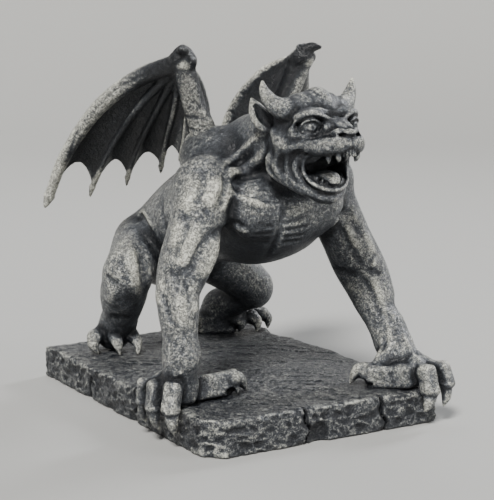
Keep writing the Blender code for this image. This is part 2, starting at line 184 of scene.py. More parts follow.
# %% Rolls and lumps of clay
def curve(points, spans=6):
    """A smooth curve through the points (Catmull-Rom: a cubic whose slope at a point is half the
    step between its neighbours). Any further columns, such as a radius, follow the same curve."""
    p = np.asarray(points, float)
    q = np.vstack([2 * p[0] - p[1], p, 2 * p[-1] - p[-2]])
    t = np.linspace(0, 1, spans, endpoint=False)[:, None]
    out = [
        b + 0.5 * t * (c - a + t * (2 * a - 5 * b + 4 * c - d + t * (3 * (b - c) + d - a)))
        for a, b, c, d in zip(q[:-3], q[1:-2], q[2:-1], q[3:])
    ]
    return np.vstack(out + [p[-1:]])


def flip(rows, side):
    """Rows of x, y, z... on the figure's left (side 1) or mirrored to its right (side -1)."""
    rows = np.array(rows, float)
    rows[..., 0] *= side
    return rows


def steps_along(clay, path, pads):
    """Walk along a path. For each step: the block's part around it, as slices of the path's whole
    window, the share t of the step that is nearest, and the legs x, y, z from there."""
    cut, _ = clay.window(path.min(0) - max(pads), path.max(0) + max(pads))
    for a, b, pad in zip(path[:-1], path[1:], pads):
        part, (x, y, z) = clay.window(np.minimum(a, b) - pad, np.maximum(a, b) + pad)
        inner = tuple(slice(p.start - c.start, p.stop - c.start) for p, c in zip(part, cut))
        ab = b - a
        x, y, z = x - a[0], y - a[1], z - a[2]
        t = np.clip((x * ab[0] + y * ab[1] + z * ab[2]) / max(ab @ ab, 1e-9), 0, 1)
        yield inner, t, (x - t * ab[0], y - t * ab[1], z - t * ab[2])


def roll_distance(clay, rows, flat, reach, side, spans):
    """Distance to a bent roll: over the steps, the distance to the nearest point of the axis less
    the radius there. flat = (direction, ratio) thins the roll along that direction."""
    path = curve(flip(rows, side), spans)
    thick = np.maximum(path[:, 3], 0.05)
    path = path[:, :3]
    pads = np.maximum(thick[:-1], thick[1:]) + reach
    cut, _ = clay.window(path.min(0) - max(pads), path.max(0) + max(pads))
    best = np.full(clay.field[cut].shape, FAR, np.float32)
    for (inner, t, (x, y, z)), start, end in zip(steps_along(clay, path, pads), thick[:-1], thick[1:]):
        size = np.sqrt(x * x + y * y + z * z)
        radius = start + (end - start) * t
        gap = size - radius
        if flat is not None:
            way, ratio = unit(flip(flat[0], side)), flat[1]
            wide = np.sqrt(size**2 + (x * way[0] + y * way[1] + z * way[2]) ** 2 * (1 / ratio**2 - 1))
            gap = size - radius * size / np.maximum(wide, 1e-4)
            gap = np.where(size < 1e-3, -radius * min(ratio, 1), gap)
        best[inner] = np.minimum(best[inner], gap)
    return cut, best


def reach_of(k):
    """How far round a new piece of clay its distance is needed, for a join of softness k."""
    return FAR if k > 2.5 else 2 * k + 2


def roll(clay, rows, k=2.0, flat=None, side=1, spans=6):
    """Press a roll of clay on: rows of x, y, z and radius, joined with softness k."""
    clay.join(*roll_distance(clay, rows, flat, reach_of(k), side, spans), k)


def groove(clay, rows, k=1.0, side=1, spans=6):
    """Cut a bent channel, the shape of a roll, out of the clay."""
    clay.cut_out(*roll_distance(clay, rows, None, k + 1.5, side, spans), k)


def three_ways(along, up):
    """Three directions at right angles: along, across, and up made square to along."""
    along, up = unit(along), np.asarray(up, float)
    up = unit(up - along * (up @ along))
    return np.stack([along, np.cross(up, along), up])


def lump_distance(clay, centre, radii, along, up, reach, side):
    """Distance to an ellipsoid, nearly: (g - 1) / |gradient of g|, where g is the distance from the
    centre as a share of the way to the surface. In numbers |gradient of g| is slope / g."""
    centre, along, up = (flip(v, side) for v in (centre, along, up))
    turn = three_ways(along, up)
    radii = np.asarray(radii, float)
    half = np.sqrt(((turn * radii[:, None]) ** 2).sum(0)) + reach
    cut, (x, y, z) = clay.window(centre - half, centre + half)
    parts = [(x - centre[0]) * e[0] + (y - centre[1]) * e[1] + (z - centre[2]) * e[2] for e in turn]
    g = np.sqrt(sum((part / r) ** 2 for part, r in zip(parts, radii)))
    slope = np.sqrt(sum((part / r**2) ** 2 for part, r in zip(parts, radii)))
    return cut, (g * (g - 1) / np.maximum(slope, 1e-6)).astype(np.float32)


def lump(clay, centre, radii, along=(1, 0, 0), up=(0, 0, 1), k=2.0, side=1):
    """Press an egg of clay on: its first radius lies along one direction and its third one up."""
    clay.join(*lump_distance(clay, centre, radii, along, up, reach_of(k), side), k)


def hollow(clay, centre, radii, along=(1, 0, 0), up=(0, 0, 1), k=1.0, side=1):
    """Scoop an egg-shaped hollow out of the clay."""
    clay.cut_out(*lump_distance(clay, centre, radii, along, up, k + 1.5, side), k)


def block(clay, centre, half, along=(1, 0, 0), up=(0, 0, 1), edge=1.5, k=1.0):
    """Press a block with rounded edges on. With q the folded place less the half sizes of a block
    that is smaller by the edge's radius, the distance is the length of q's positive part, plus its
    largest part where all are negative, less that radius."""
    centre = np.array(centre, float)
    turn = three_ways(along, up)
    reach = np.abs(turn * np.reshape(half, (3, 1))).sum(0) + reach_of(k)
    cut, (x, y, z) = clay.window(centre - reach, centre + reach)
    parts = [(x - centre[0]) * e[0] + (y - centre[1]) * e[1] + (z - centre[2]) * e[2] for e in turn]
    q = [np.abs(part) - h + edge for part, h in zip(parts, half)]
    outer = np.sqrt(sum(np.maximum(part, 0) ** 2 for part in q))
    clay.join(cut, (outer + np.minimum(np.maximum.reduce(q), 0) - edge).astype(np.float32), k)


# %% Reading the clay, and pressing lines into it
def depth_at(clay, points):
    """The distance that the block holds at any points, blended from the eight crossings around each."""
    points = np.asarray(points, np.float32)
    low, share = [], []
    for i, line in enumerate(clay.axes):
        place = np.interp(points[:, i], line, np.arange(len(line)))
        low.append(np.minimum(place.astype(np.int64), len(line) - 2))
        share.append((place - low[-1]).astype(np.float32))
    (i, j, k), (u, v, w) = low, share
    f = clay.field
    near = (f[i, j, k] * (1 - u) + f[i + 1, j, k] * u) * (1 - v)
    near += (f[i, j + 1, k] * (1 - u) + f[i + 1, j + 1, k] * u) * v
    over = (f[i, j, k + 1] * (1 - u) + f[i + 1, j, k + 1] * u) * (1 - v)
    over += (f[i, j + 1, k + 1] * (1 - u) + f[i + 1, j + 1, k + 1] * u) * v
    return near * (1 - w) + over * w


def outward(clay, points):
    """The slope of the distance, which points out of the clay: for each of x, y and z, the difference
    between half a millimetre further on and half a millimetre back."""
    ways = 0.5 * np.eye(3, dtype=np.float32)
    return np.stack([depth_at(clay, points + way) - depth_at(clay, points - way) for way in ways], 1)


def onto(clay, points):
    """Move points to the surface: six times back along the slope, by distance over slope squared,
    with limits so that a point never leaps."""
    points = np.array(points, np.float32)
    for _ in range(6):
        slope = outward(clay, points)
        move = depth_at(clay, points) / np.maximum((slope**2).sum(1), 0.3)
        points -= np.clip(move, -2, 2)[:, None] * slope
    return points.astype(float)


def press(clay, points, width, depth, side=1, spans=6):
    """Press a line into the surface (depth > 0) or raise it (depth < 0): the distance grows by
    depth x exp(-1.5 (q / width)^2), q from the line, which is first laid onto the surface and
    smoothed. The depth fades towards both ends of the line."""
    path = onto(clay, curve(flip(points, side), spans))
    for _ in range(2):
        path[1:-1] = 0.25 * path[:-2] + 0.5 * path[1:-1] + 0.25 * path[2:]
    share = np.linspace(0, 1, len(path))
    fade = np.minimum(1, 3.2 * np.minimum(share, 1 - share) + 0.12)
    pads = np.full(len(path) - 1, width * 2.2)
    cut, _ = clay.window(path.min(0) - pads[0], path.max(0) + pads[0])
    best = np.full(clay.field[cut].shape, 9.0, np.float32)
    push = np.zeros_like(best)
    for (inner, t, (x, y, z)), start, end in zip(steps_along(clay, path, pads), fade[:-1], fade[1:]):
        q = np.sqrt(x**2 + y**2 + z**2) / width
        nearer = q < best[inner]
        best[inner] = np.where(nearer, q, best[inner])
        push[inner] = np.where(nearer, start + (end - start) * t, push[inner])
    clay.field[cut] += depth * push * np.exp(-1.5 * best * best)


# %% The skin of the clay
def skin(clay):
    """The surface where the distance is zero, by surface nets: each cell that the surface crosses
    gets one vertex, the mean of the crossings on its edges, and each crossed edge gets one quad of
    the four cells around it, wound so that it faces out of the clay."""
    field = clay.field
    inside = field < 0
    strides = np.array([field.shape[1] * field.shape[2], field.shape[2], 1])
    rings, spots = [], []
    for axis in range(3):
        low, high = [slice(None)] * 3, [slice(None)] * 3
        low[axis], high[axis] = slice(0, -1), slice(1, None)
        crossed = inside[tuple(low)] != inside[tuple(high)]
        u, w = [i for i in range(3) if i != axis]
        for other in (u, w):
            edge = [slice(None)] * 3
            edge[other] = [0, -1]
            crossed[tuple(edge)] = False
        place = np.argwhere(crossed)
        start, end = field[tuple(low)][tuple(place.T)], field[tuple(high)][tuple(place.T)]
        spot = place.astype(np.float32)
        spot[:, axis] += start / (start - end)
        base = place @ strides
        ring = np.stack([base - strides[u] - strides[w], base - strides[w], base, base - strides[u]], 1)
        turned = (start < 0) ^ (axis == 1)
        rings.append(np.where(turned[:, None], ring, ring[:, ::-1]))
        spots.append(np.repeat(spot, 4, axis=0))
    rings, spots = np.concatenate(rings), np.concatenate(spots)
    _, corner = np.unique(rings.ravel(), return_inverse=True)
    count = np.bincount(corner)
    verts = [np.bincount(corner, spots[:, i]) / count for i in range(3)]
    verts = [np.interp(v, np.arange(len(line)), line) for v, line in zip(verts, clay.axes)]
    return np.stack(verts, 1), corner.reshape(-1, 4)


print("clay tools ready: roll, lump, groove, hollow, press, skin")

# %% [markdown]
# ## The body
# The gargoyle crouches like a big cat: long arms reach forward over the edges of the slab, the
# back slopes down to a low rump, and the legs are folded. The large masses come first, softly
# joined, then the muscles, then the folds.

# %% The block, finest at the head
GRID_SCALE = 1.0
FINE, COARSE = 0.36 * GRID_SCALE, 0.68 * GRID_SCALE
figure = Clay(
    spread([(-77, COARSE), (-33, COARSE), (-30, FINE), (30, FINE), (33, COARSE), (77, COARSE)]),
    spread([(-112, FINE), (-60, FINE), (-54, COARSE), (108, COARSE)]),
    spread([(0, COARSE), (98, COARSE), (103, FINE), (166, FINE)]),
)
print("grid of", " x ".join(str(n) for n in figure.field.shape))


# %% Chest, loin, rump and neck
def model_trunk(clay):
    """The chest is one big egg, and the loin and rump are a thick roll that sinks towards the rear."""
    lump(clay, (1, -27, 101), (33, 36, 27), k=0.1)
    roll(clay, [(0, -20, 99, 27), (0, 20, 91, 25), (0, 50, 77, 24), (0, 64, 69, 23)], k=6)
    lump(clay, (0, -24, 118), (30, 24, 20), k=6)
    roll(clay, [(0, -30, 126, 19), (0, -50, 132, 17.5), (0, -64, 137, 15)], k=6)
    for side in (-1, 1):
        lump(clay, (15, -49, 103), (17, 13, 15), k=4, side=side)
        lump(clay, (19, -14, 121), (12, 17, 10), k=4, side=side)
        roll(clay, [(33, -38, 113, 12), (23, -24, 121, 12.5), (15, -10, 125, 12)], k=8, side=side)
    hollow(clay, (0, -66, 111.5), (14, 10, 5.6), up=(0, -0.3, 1), k=3)


# %% Arms and legs
ARM_RIGHT = [
    (-36, -40, 112, 15), (-43, -47, 101, 12.8), (-48.5, -50, 91, 11.8), (-52.5, -50, 80, 11.5),
    (-56, -51, 70, 10),
    (-57.5, -54, 60, 9.2), (-58, -56, 50, 8.0), (-58, -58, 40, 7.8),
]
ARM_LEFT = [
    (30, -37, 107, 14), (36.5, -38, 96, 12.5), (42.5, -39, 84, 12), (48.5, -40, 71, 12),
    (51, -44, 61, 10.4),
    (52, -50, 52, 9.2), (54.5, -57, 41, 8.0), (55, -61, 34, 8.0),
]


def model_limbs(clay):
    """Arms like pillars, thighs folded up beside the belly, and shins that slope back to the feet."""
    roll(clay, ARM_RIGHT, k=4)
    roll(clay, ARM_LEFT, k=4)
    roll(clay, [(47, -41, 78, 9), (52.5, -45, 66, 9.4), (54, -50, 56, 8.4)], k=3)
    roll(clay, [(-45, -53, 92, 7), (-48, -53, 84, 8), (-52, -54, 74, 7)], k=2.5)
    roll(clay, [(-15, 62, 70, 17), (-29, 46, 66, 13.5), (-38, 36, 61, 12.5)], k=4)
    roll(clay, [(-38, 36, 60, 11.5), (-37, 43, 50, 12.0), (-35, 50, 39, 9.6), (-34, 56, 31, 8)], k=3)
    roll(clay, [(15, 64, 70, 18), (30, 56, 57, 14), (44.5, 50.5, 44.5, 10.5)], k=5)
    roll(clay, [(45.5, 51, 41, 9.2), (42, 60, 38, 9.6), (34, 70, 30, 8)], k=3)


# %% Hands and feet
def finger(clay, palm, knuckle, foot, tip, width):
    """A finger lies over the edge of the slab: a roll to the knuckle, a square-cut joint that stands
    down to the foot point, and a nail below a thin cut that tapers and curls in to its tip."""
    palm, knuckle, foot, tip = (np.array(p, float) for p in (palm, knuckle, foot, tip))
    middle = 0.55 * knuckle + 0.45 * palm
    roll(clay, [(*palm, 5.0), (*middle, 0.85 * width), (*knuckle, width)], k=1.6)
    out = unit((knuckle - palm) * (1, 1, 0))
    across = np.cross(out, (0, 0, 1))
    centre = 0.5 * (knuckle + foot) + (0, 0, 0.3 * width)
    tall = 0.5 * np.linalg.norm(knuckle - foot) + 0.55 * width
    joint = (width * 0.92, width * 0.98, tall)
    block(clay, centre, joint, along=across, up=knuckle - foot, edge=0.55 * width, k=1.0)
    bulge = (width * 1.02, width * 0.9, width * 0.85)
    lump(clay, knuckle + 0.3 * out + (0, 0, 0.2 * width), bulge, along=across, k=0.8)
    lump(clay, foot + 0.3 * out + (0, 0, 1.2), (width * 1.02, width, width * 0.7), along=across, k=0.8)
    bow = 0.5 * (foot + tip) + 0.8 * out
    roll(clay, [(*foot, 0.80 * width), (*bow, 0.62 * width), (*tip, 0.6)], k=0.3)
    rim = foot + width * 0.9 * out - (0, 0, 1.0)
    press(clay, [rim - 0.8 * width * across, rim + (0, 0, -0.5), rim + 0.8 * width * across], 0.5, 0.5)


def tendons(clay, lines, width):
    """Raise a straight stroke from the back of the hand to each finger."""
    for start, end in lines:
        middle = 0.5 * (np.array(start) + end)
        press(clay, [start, middle, end], width, -0.9)


def model_right_hand(clay):
    """Three fingers hook over the long edge of the slab, and the thumb lies across its top."""
    roll(clay, [(-58, -57, 41, 7.6), (-58, -56, 33, 7.8), (-57, -54, 27, 8.2)], k=4)
    block(clay, (-58.5, -51.5, 23.5), (7.5, 9.5, 6.0), edge=3.5, k=3)
    finger(clay, (-60, -47, 27.5), (-69.5, -43, 25.5), (-70.2, -42.3, 16.5), (-66.6, -38.5, 6.5), 2.9)
    finger(clay, (-60, -52, 27.5), (-68.5, -51.5, 25.8), (-70, -53.4, 15.8), (-66.6, -51.5, 6), 3.5)
    finger(clay, (-58, -55, 27.5), (-64.4, -60.5, 26.0), (-67.2, -64.8, 17.0), (-66.0, -65.4, 7), 4.1)
    block(clay, (-38.5, -50.6, 22.4), (13, 4.4, 5.6), along=(1, 0.1, 0), up=(0, 0.25, 1), edge=2.4, k=2.5)
    lump(clay, (-28, -51, 24.8), (4.2, 4.8, 4.2), k=1)
    roll(clay, [(-27.5, -51, 24.6, 3.8), (-24, -50.8, 23.4, 3.0), (-20, -49.8, 18, 0.7)], k=0.3)
    press(clay, [(-26.4, -55.6, 23), (-25.4, -53, 27.6), (-25.6, -48, 28)], 0.5, 0.5)
    groove(clay, [(-34, -56.5, 19.2, 1.2), (-30.5, -54, 19.0, 2.2), (-28, -50, 18.6, 2.0)], k=0.6)
    tendons(clay, (
        ((-58, -58, 40), (-67, -43.6, 30)),
        ((-59, -61, 38), (-63.5, -59.5, 31)),
        ((-54, -60, 38), (-40, -53, 28.6)),
    ), 1.5)


def model_left_hand(clay):
    """Two fingers hook over the front edge, and the thumb lies along the top like a low wall."""
    roll(clay, [(54.6, -59, 41, 7.8), (54.5, -64, 34, 8.2), (53.5, -70, 28, 8.6)], k=4)
    block(clay, (53.0, -77.4, 22.6), (8, 8, 5.4), along=(1, -0.35, 0), edge=3.0, k=3)
    lump(clay, (60.8, -60, 37.6), (3.4, 3.6, 3.4), k=1.5)
    finger(clay, (54.5, -80, 26), (53.8, -89.8, 24.6), (54.6, -93.2, 15.8), (51.6, -93.2, 7.4), 4.2)
    finger(clay, (58, -77, 26.5), (63.6, -89.4, 25.6), (64.2, -92.4, 17.8), (62.8, -92.4, 8.6), 3.7)
    block(clay, (43.6, -75.2, 21.6), (11, 4.8, 5.4), along=(0.83, -0.56, 0), edge=2.2, k=2.5)
    roll(clay, [(46, -69, 28, 5), (40, -71, 25.5, 3.4)], k=2)
    lump(clay, (35.2, -68.6, 23.2), (4.6, 4.6, 4.4), k=1.2)
    roll(clay, [(34.8, -67.6, 24.4, 3.5), (31.6, -66.2, 23.6, 2.9), (29, -64.2, 17.9, 0.7)], k=0.3)
    groove(clay, [(34.5, -73.5, 18.4, 1.2), (33, -69.5, 18.4, 1.8), (33, -65, 18.4, 1.6)], k=0.5)
    tendons(clay, (
        ((58, -64, 38), (65, -85, 30.5)),
        ((55, -66, 38), (54.5, -86, 29.5)),
        ((51, -62, 38), (40, -71.5, 27.5)),
    ), 1.6)


def toe(clay, heel, knuckle, tip, width):
    """A toe arches up from the heel over its knuckle, and a tall nail stands down from it."""
    heel, knuckle, tip = (np.array(p, float) for p in (heel, knuckle, tip))
    out = unit((knuckle - heel) * (1, 1, 0))
    rise = 0.5 * (heel + knuckle) + (0, 0, 1.2)
    roll(clay, [(*heel, 6.0), (*rise, 1.1 * width), (*knuckle, width)], k=1.6)
    front = 0.65 * knuckle + 0.35 * tip + 0.55 * width * out
    roll(clay, [(*knuckle, width * 0.95), (*front, 0.72 * width), (*tip, 0.7)], k=0.6)
    lump(clay, knuckle + (0, 0, 0.4), (width * 1.05, width, width * 0.9), along=out, k=0.8)


def model_feet(clay):
    """The right foot stands straight; the left one is turned out and lies under its shin."""
    roll(clay, [(-34, 56, 32, 9.2), (-35, 60, 25.5, 9)], k=4)
    for knuckle, tip, width in (
        ((-46.8, 57, 25.0), (-47.6, 52.5, 17.4), 4.1),
        ((-38, 52.5, 25.6), (-38.2, 46, 17.4), 4.1),
        ((-29.5, 50.0, 25.2), (-29.8, 42, 17.4), 3.8),
    ):
        toe(clay, (-36, 62, 25), knuckle, tip, width)
    roll(clay, [(36, 72, 31, 9.0), (32, 73, 24, 8.2)], k=4)
    block(clay, (33, 72, 21), (11, 7, 5.5), along=(1, -0.35, 0), edge=3, k=3)
    for knuckle, tip, width in (
        ((41.5, 64.6, 24.2), (42.5, 62, 17.4), 4.4),
        ((49.8, 61.8, 24.4), (50.8, 57, 17.4), 4.0),
        ((59.5, 66.0, 24.2), (60.5, 61.5, 17.4), 3.8),
    ):
        toe(clay, (36, 72, 25), knuckle, tip, width)


for model in (model_trunk, model_limbs, model_right_hand, model_left_hand, model_feet):
    model(figure)
print("body masses in place:", int((figure.field < 0).sum()), "grid points inside")

# %% [markdown]
# ## Muscles, folds and the spine
# A sculptor adds the muscles over the masses as strips of clay, and then cuts the lines between
# them. Here a raised stroke and a cut stroke are the same tool with opposite signs, and each one
# is first laid onto the surface, so the points only have to be near it.

# %% Strokes: width, height (negative cuts), then the places the stroke passes
STROKE = 1.05  # one factor for the heights of all the tables' strokes


def strokes(clay, rows, side=1):
    """Lay each stroke onto the clay in turn."""
    for width, height, *points in rows:
        press(clay, points, width, -STROKE * height, side)


SHOULDER_RIGHT = (
    (6.0, 2.8, (-37.5, -52, 119.5), (-38.5, -54.6, 114.5), (-42.5, -57, 109), (-46.5, -58.5, 104)),
    (6.0, 2.6, (-44.5, -47, 121), (-48.3, -51.5, 113.5), (-51.5, -53.6, 107.5), (-53.5, -55.5, 102.5)),
    (3.4, 1.3, (-30, -52.5, 116), (-33.5, -56, 110), (-38.5, -59, 104)),
    (2.0, -1.9, (-41.5, -48, 122.5), (-43.8, -52.8, 116.4), (-46.1, -54.4, 112.4), (-50.5, -56.5, 105)),
    (2.4, -2.2, (-31.5, -52, 121), (-33.3, -53.4, 117.8), (-36.2, -55.8, 112.5), (-39.3, -57.4, 108.5),
     (-43.1, -59.1, 104.7)),
    (3.5, -0.9, (-44.5, -58.6, 107), (-47.5, -58.6, 103.5)),
)
ARM_RIGHT_LINES = (
    (4.6, 1.9, (-57.5, -51, 101), (-57.8, -55, 94.5), (-60.5, -55.2, 87.5)),
    (4.8, 2.2, (-50.5, -58.8, 101), (-54.3, -60.1, 92.3), (-57.9, -59.2, 84.4), (-60.5, -58.4, 80.5)),
    (5.0, 2.4, (-43.5, -60, 94), (-43.5, -59.5, 87), (-47.5, -60.4, 80), (-52, -60.5, 74)),
    (2.0, -1.9, (-54, -53.1, 104.6), (-55.2, -57.8, 97.1), (-58.2, -57.9, 89.9), (-60.1, -57.6, 83.8)),
    (2.1, -2.3, (-41.6, -60.1, 95.4), (-48.7, -61.4, 91.5), (-52.3, -61.4, 86.1), (-55, -61.1, 80),
     (-55.5, -60.5, 77)),
    (4.0, 1.4, (-63.5, -54.5, 76), (-65.5, -52.5, 69), (-66, -53, 62)),
    (5.0, 1.5, (-60.5, -59.3, 74), (-59.9, -62.5, 62), (-61, -63.3, 52)),
    (4.0, 1.2, (-54.5, -59.5, 76), (-54, -61.5, 66), (-56, -62.5, 58)),
    (2.6, -1.1, (-62.8, -55.5, 80.5), (-61.5, -57.8, 77.4), (-58, -60, 76.8)),
    (1.6, -1.0, (-57.6, -60.4, 76), (-57.2, -62, 67), (-57.8, -63, 58)),
    (1.7, -1.6, (-65.7, -50.7, 71.8), (-65.5, -55.7, 66.3), (-65, -58.4, 61.7), (-63.8, -60.5, 56)),
    (1.3, -1.1, (-60.5, -64.2, 46.5), (-62, -64.4, 44), (-63.2, -64, 41.8)),
)
LEG_RIGHT_LINES = (
    (7.0, 1.6, (-34, 45.6, 81), (-41.4, 35.3, 74), (-44, 31, 67)),
    (3.6, 1.5, (-36, 33, 78), (-38.8, 28.5, 71), (-40.4, 24.5, 62), (-37, 26, 52.7), (-36, 30, 46)),
    (4.5, -2.0, (-31, 36, 79), (-34, 27, 69), (-35, 24, 57), (-31, 30, 48)),
    (2.4, -2.6, (-25.5, 58, 87.5), (-24.6, 51.5, 87.4), (-25.4, 43, 84.8), (-25.2, 35.5, 79.8)),
    (1.5, 1.6, (-22.5, 59.5, 89.6), (-22.1, 51.9, 90), (-24.1, 41.3, 87.6), (-24.6, 33.9, 83)),
    (5.0, 1.3, (-46.5, 30, 56), (-47.5, 35, 50), (-46.5, 38, 45)),
    (2.3, -1.9, (-51, 36, 61.5), (-50.3, 33.3, 59.9), (-49, 30.7, 58.2), (-46.5, 28, 56.8)),
    (1.8, -1.8, (-45.9, 30.8, 69.3), (-44.5, 27, 65.5), (-42.3, 24.3, 61.4)),
    (1.2, -1.0, (-46.4, 27, 62.8), (-44, 25, 60.4), (-41.7, 24.1, 57.9)),
    (3.0, -1.4, (-44.5, 44, 38), (-40.2, 38.9, 37.5), (-35, 38.5, 36.8)),
)
ARM_LEFT_LINES = (
    (3.4, 1.8, (34, -50, 92), (38.7, -50.3, 84.2), (44.6, -51.3, 75.1)),
    (3.8, 1.6, (44, -50.2, 88.6), (48, -50.5, 81), (50, -51.2, 75.1)),
    (2.3, 1.7, (48.4, -51.8, 72), (51, -51.8, 71)),
    (2.6, 1.3, (46.5, -52.5, 66.5), (49.5, -54.8, 61.5), (50, -58.4, 54.3), (50.5, -62, 47)),
    (4.0, 1.1, (39.5, -44, 62), (44, -50, 57)),
    (2.0, -2.2, (29, -50, 97), (34, -50.5, 94.4), (38.9, -50.5, 91.5), (42, -50.6, 88),
     (44.5, -50.8, 84.8)),
    (1.9, -1.9, (31.5, -49, 92), (36.5, -49.3, 84.2), (42.3, -50.4, 74.2), (45.5, -51.2, 70.8)),
    (1.3, -1.3, (46.1, -51.7, 69.2), (50, -52.4, 67.4), (53.1, -52.8, 66.3)),
    (1.7, -1.5, (43.1, -50.5, 66.9), (47.2, -54.6, 59.8), (48.3, -58.5, 53.1), (48.2, -61.7, 46.4)),
    (2.2, -1.4, (37, -37, 69), (41, -45, 67.5), (43.1, -50.5, 66.9)),
    (1.8, 1.0, (49.7, -63.5, 45.7), (48.7, -69.2, 37.2), (43.2, -71.5, 31.2)),
)
# drawn on the right side, repeated on the left
BOTH_SIDES = (
    (3.2, 2.8, (-33, -52.5, 118.3), (-27, -49.5, 119.5), (-19.5, -47.2, 120.8), (-15.8, -53, 124.9),
     (-15.3, -60.7, 130.5)),
    (2.2, 1.8, (-32.8, -50.4, 121.8), (-26, -45, 124), (-19.9, -42.6, 127), (-17, -52, 134),
     (-16, -60.4, 139)),
    (2.2, -2.6, (-32.6, -53.5, 116.4), (-26, -52, 116.9), (-20.6, -50.6, 117.2), (-15, -56, 120.9),
     (-15.9, -64, 126.8)),
    (1.3, -1.4, (-32.9, -50.5, 120.2), (-26, -47, 121.6), (-19.6, -44.6, 123.2), (-16, -53.5, 128.5)),
    (2.2, 1.5, (-29.4, -52, 112.5), (-27.5, -58, 110.4), (-22, -61, 107.6), (-13, -62, 103.8)),
    (2.0, -1.4, (-30, -51, 115), (-27.5, -57, 112.4), (-22, -60.4, 109.8), (-13, -61.5, 106)),
    (2.3, -2.2, (-45.8, -61.2, 94.4), (-40.7, -59.8, 95.2), (-33, -54, 94), (-26.1, -49.7, 91.2),
     (-22.7, -50, 87.3)),
    (1.9, -1.5, (-30, -50, 96.5), (-27.5, -54, 98.2), (-23.6, -56, 94.8)),
    (1.8, 1.0, (-30, -51.5, 93.5), (-26, -56, 94.5), (-23, -56, 91)),
)


def model_trunk_lines(clay):
    """The sternum with its short folds, the ribs, the shoulder blades and a row of spine knobs."""
    press(clay, [(-8, -60, 106), (-8, -61, 98.5), (-8, -59, 91.6), (-8, -53, 84), (-6, -44, 79)], 2.0, 1.7)
    for z, lift in ((97, 3.5), (93, 3.0), (89, 2.5), (85, 2.0)):
        press(clay, [(-7.0, -59, z), (-1, -59.5, z + 0.3 * lift), (6, -58, z + lift)], 1.5, 1.0)
        press(clay, [(-9.5, -58, z), (-15, -56, z + 0.2 * lift), (-20, -53, z + lift)], 1.5, 0.5)
    for n in range(4):
        for side in (-1, 1):
            y = -6 + 11 * n
            press(clay, [(22, y, 118 - 5 * n), (28, y - 5, 103 - 5 * n), (25, y - 11, 88 - 4 * n)], 2.6,
                  0.8, side)
    for side in (-1, 1):
        press(clay, [(13, -26, 132), (20, -8, 129), (24, 4, 118), (27, -6, 110)], 4.0, -1.6, side)
        press(clay, [(12, 6, 124), (9, 26, 114), (9, 50, 102), (10, 66, 92)], 5.0, -1.0, side)
    press(clay, [(0, -24, 138), (0, 0, 128), (0, 30, 116), (0, 60, 102), (0, 80, 84)], 2.6, 1.2)
    knobs = onto(clay, curve([(0, -14, 134), (0, 6, 126), (0, 30, 116), (0, 54, 104), (0, 70, 94),
                              (0, 82, 82)], 3))
    for knob in knobs:
        lump(clay, knob, (2.0, 2.6, 2.0), k=0.8)


for rows in (SHOULDER_RIGHT, ARM_RIGHT_LINES, LEG_RIGHT_LINES, ARM_LEFT_LINES):
    strokes(figure, rows)
for side in (1, -1):
    strokes(figure, BOTH_SIDES, side)
model_trunk_lines(figure)
print("muscles and folds in place")

# %% [markdown]
# ## The head
# A low skull with three lobes, a heavy brow, round eyes in deep sockets, a snub nose over a split
# upper lip, and wide jaws with folds of skin round them. It is modelled in the same block, where
# the grid is finest, and both its halves are alike.

# %% Skull, muzzle and jaw
def model_skull(clay):
    """Cranium, temples, muzzle with its two lip bulbs, the lower jaw as a bent roll, and the mouth
    scooped out between its walls."""
    lump(clay, (0, -71, 140), (16.5, 18, 16.5), k=4)
    lump(clay, (0, -77.5, 147.0), (8.5, 11, 12.0), k=2.5)
    lump(clay, (0, -82, 133), (13, 11.5, 12), k=4)
    roll(clay, [(0, -86, 135.5, 10.0), (0, -94, 135.5, 8.5), (0, -99.5, 136, 6.8)], k=3,
         flat=((0, 0, 1), 0.6))
    for side in (-1, 1):
        lump(clay, (7.2, -75, 147.5), (7.0, 11, 8.8), k=1.6, side=side)
        lump(clay, (12.5, -71, 134), (5, 9, 12), k=3, side=side)
        lump(clay, (14.6, -75, 134.2), (5.0, 7.0, 6.2), k=2, side=side)
        roll(clay, [(10.6, -87.5, 133.8, 3.6), (8.4, -95.5, 134.4, 3.9), (4.8, -100.5, 135.6, 4.2)], k=2,
             side=side)
        lump(clay, (3.8, -101.4, 136.2), (3.8, 4.2, 4.4), k=1.0, side=side)
        jaw = [(14, -66.6, 126.2, 5), (13, -72.7, 120.9, 4), (9.5, -80.3, 116.1, 3.4),
               (5.5, -86.1, 113.9, 3), (0, -88.6, 113.1, 3)]
        roll(clay, jaw, k=2.5, side=side)
    lump(clay, (0, -77, 117), (10, 11, 4.6), up=(0, 0.3, 1), k=3)
    hollow(clay, (0, -95, 124.3), (8.8, 12, 6.8), up=(0, -0.3, 1), k=1.0)
    hollow(clay, (0, -86, 124.4), (9.4, 10.5, 5.1), up=(0, -0.1, 1), k=1.5)
    for side in (-1, 1):
        wall = [(12, -76, 130.6, 4), (12.4, -77.1, 126.2, 5), (11.8, -77.8, 121.8, 5),
                (9.8, -80.9, 117.4, 4)]
        roll(clay, wall, k=1.2, flat=((1, 0.25, 0), 0.42), side=side)
        hollow(clay, (9.5, -68.5, 110.0), (7.5, 8, 5.4), up=(0, -0.2, 1), k=1.6, side=side)
    hollow(clay, (0, -71.5, 107.8), (10, 9, 4.2), up=(0, -0.2, 1), k=1.6)


# %% Eyes, brow and nose
EYE_BALL, EYE_SIZE = np.array([9.5, -87.0, 142.2]), 5.0


def round_eye(across, up, size):
    """A place on a ball round the eye: degrees outwards from straight ahead, degrees up, distance."""
    a, b = np.radians(across), np.radians(up)
    return EYE_BALL + np.stack([np.sin(a) * np.cos(b), -np.cos(a) * np.cos(b), np.sin(b)], -1) * size


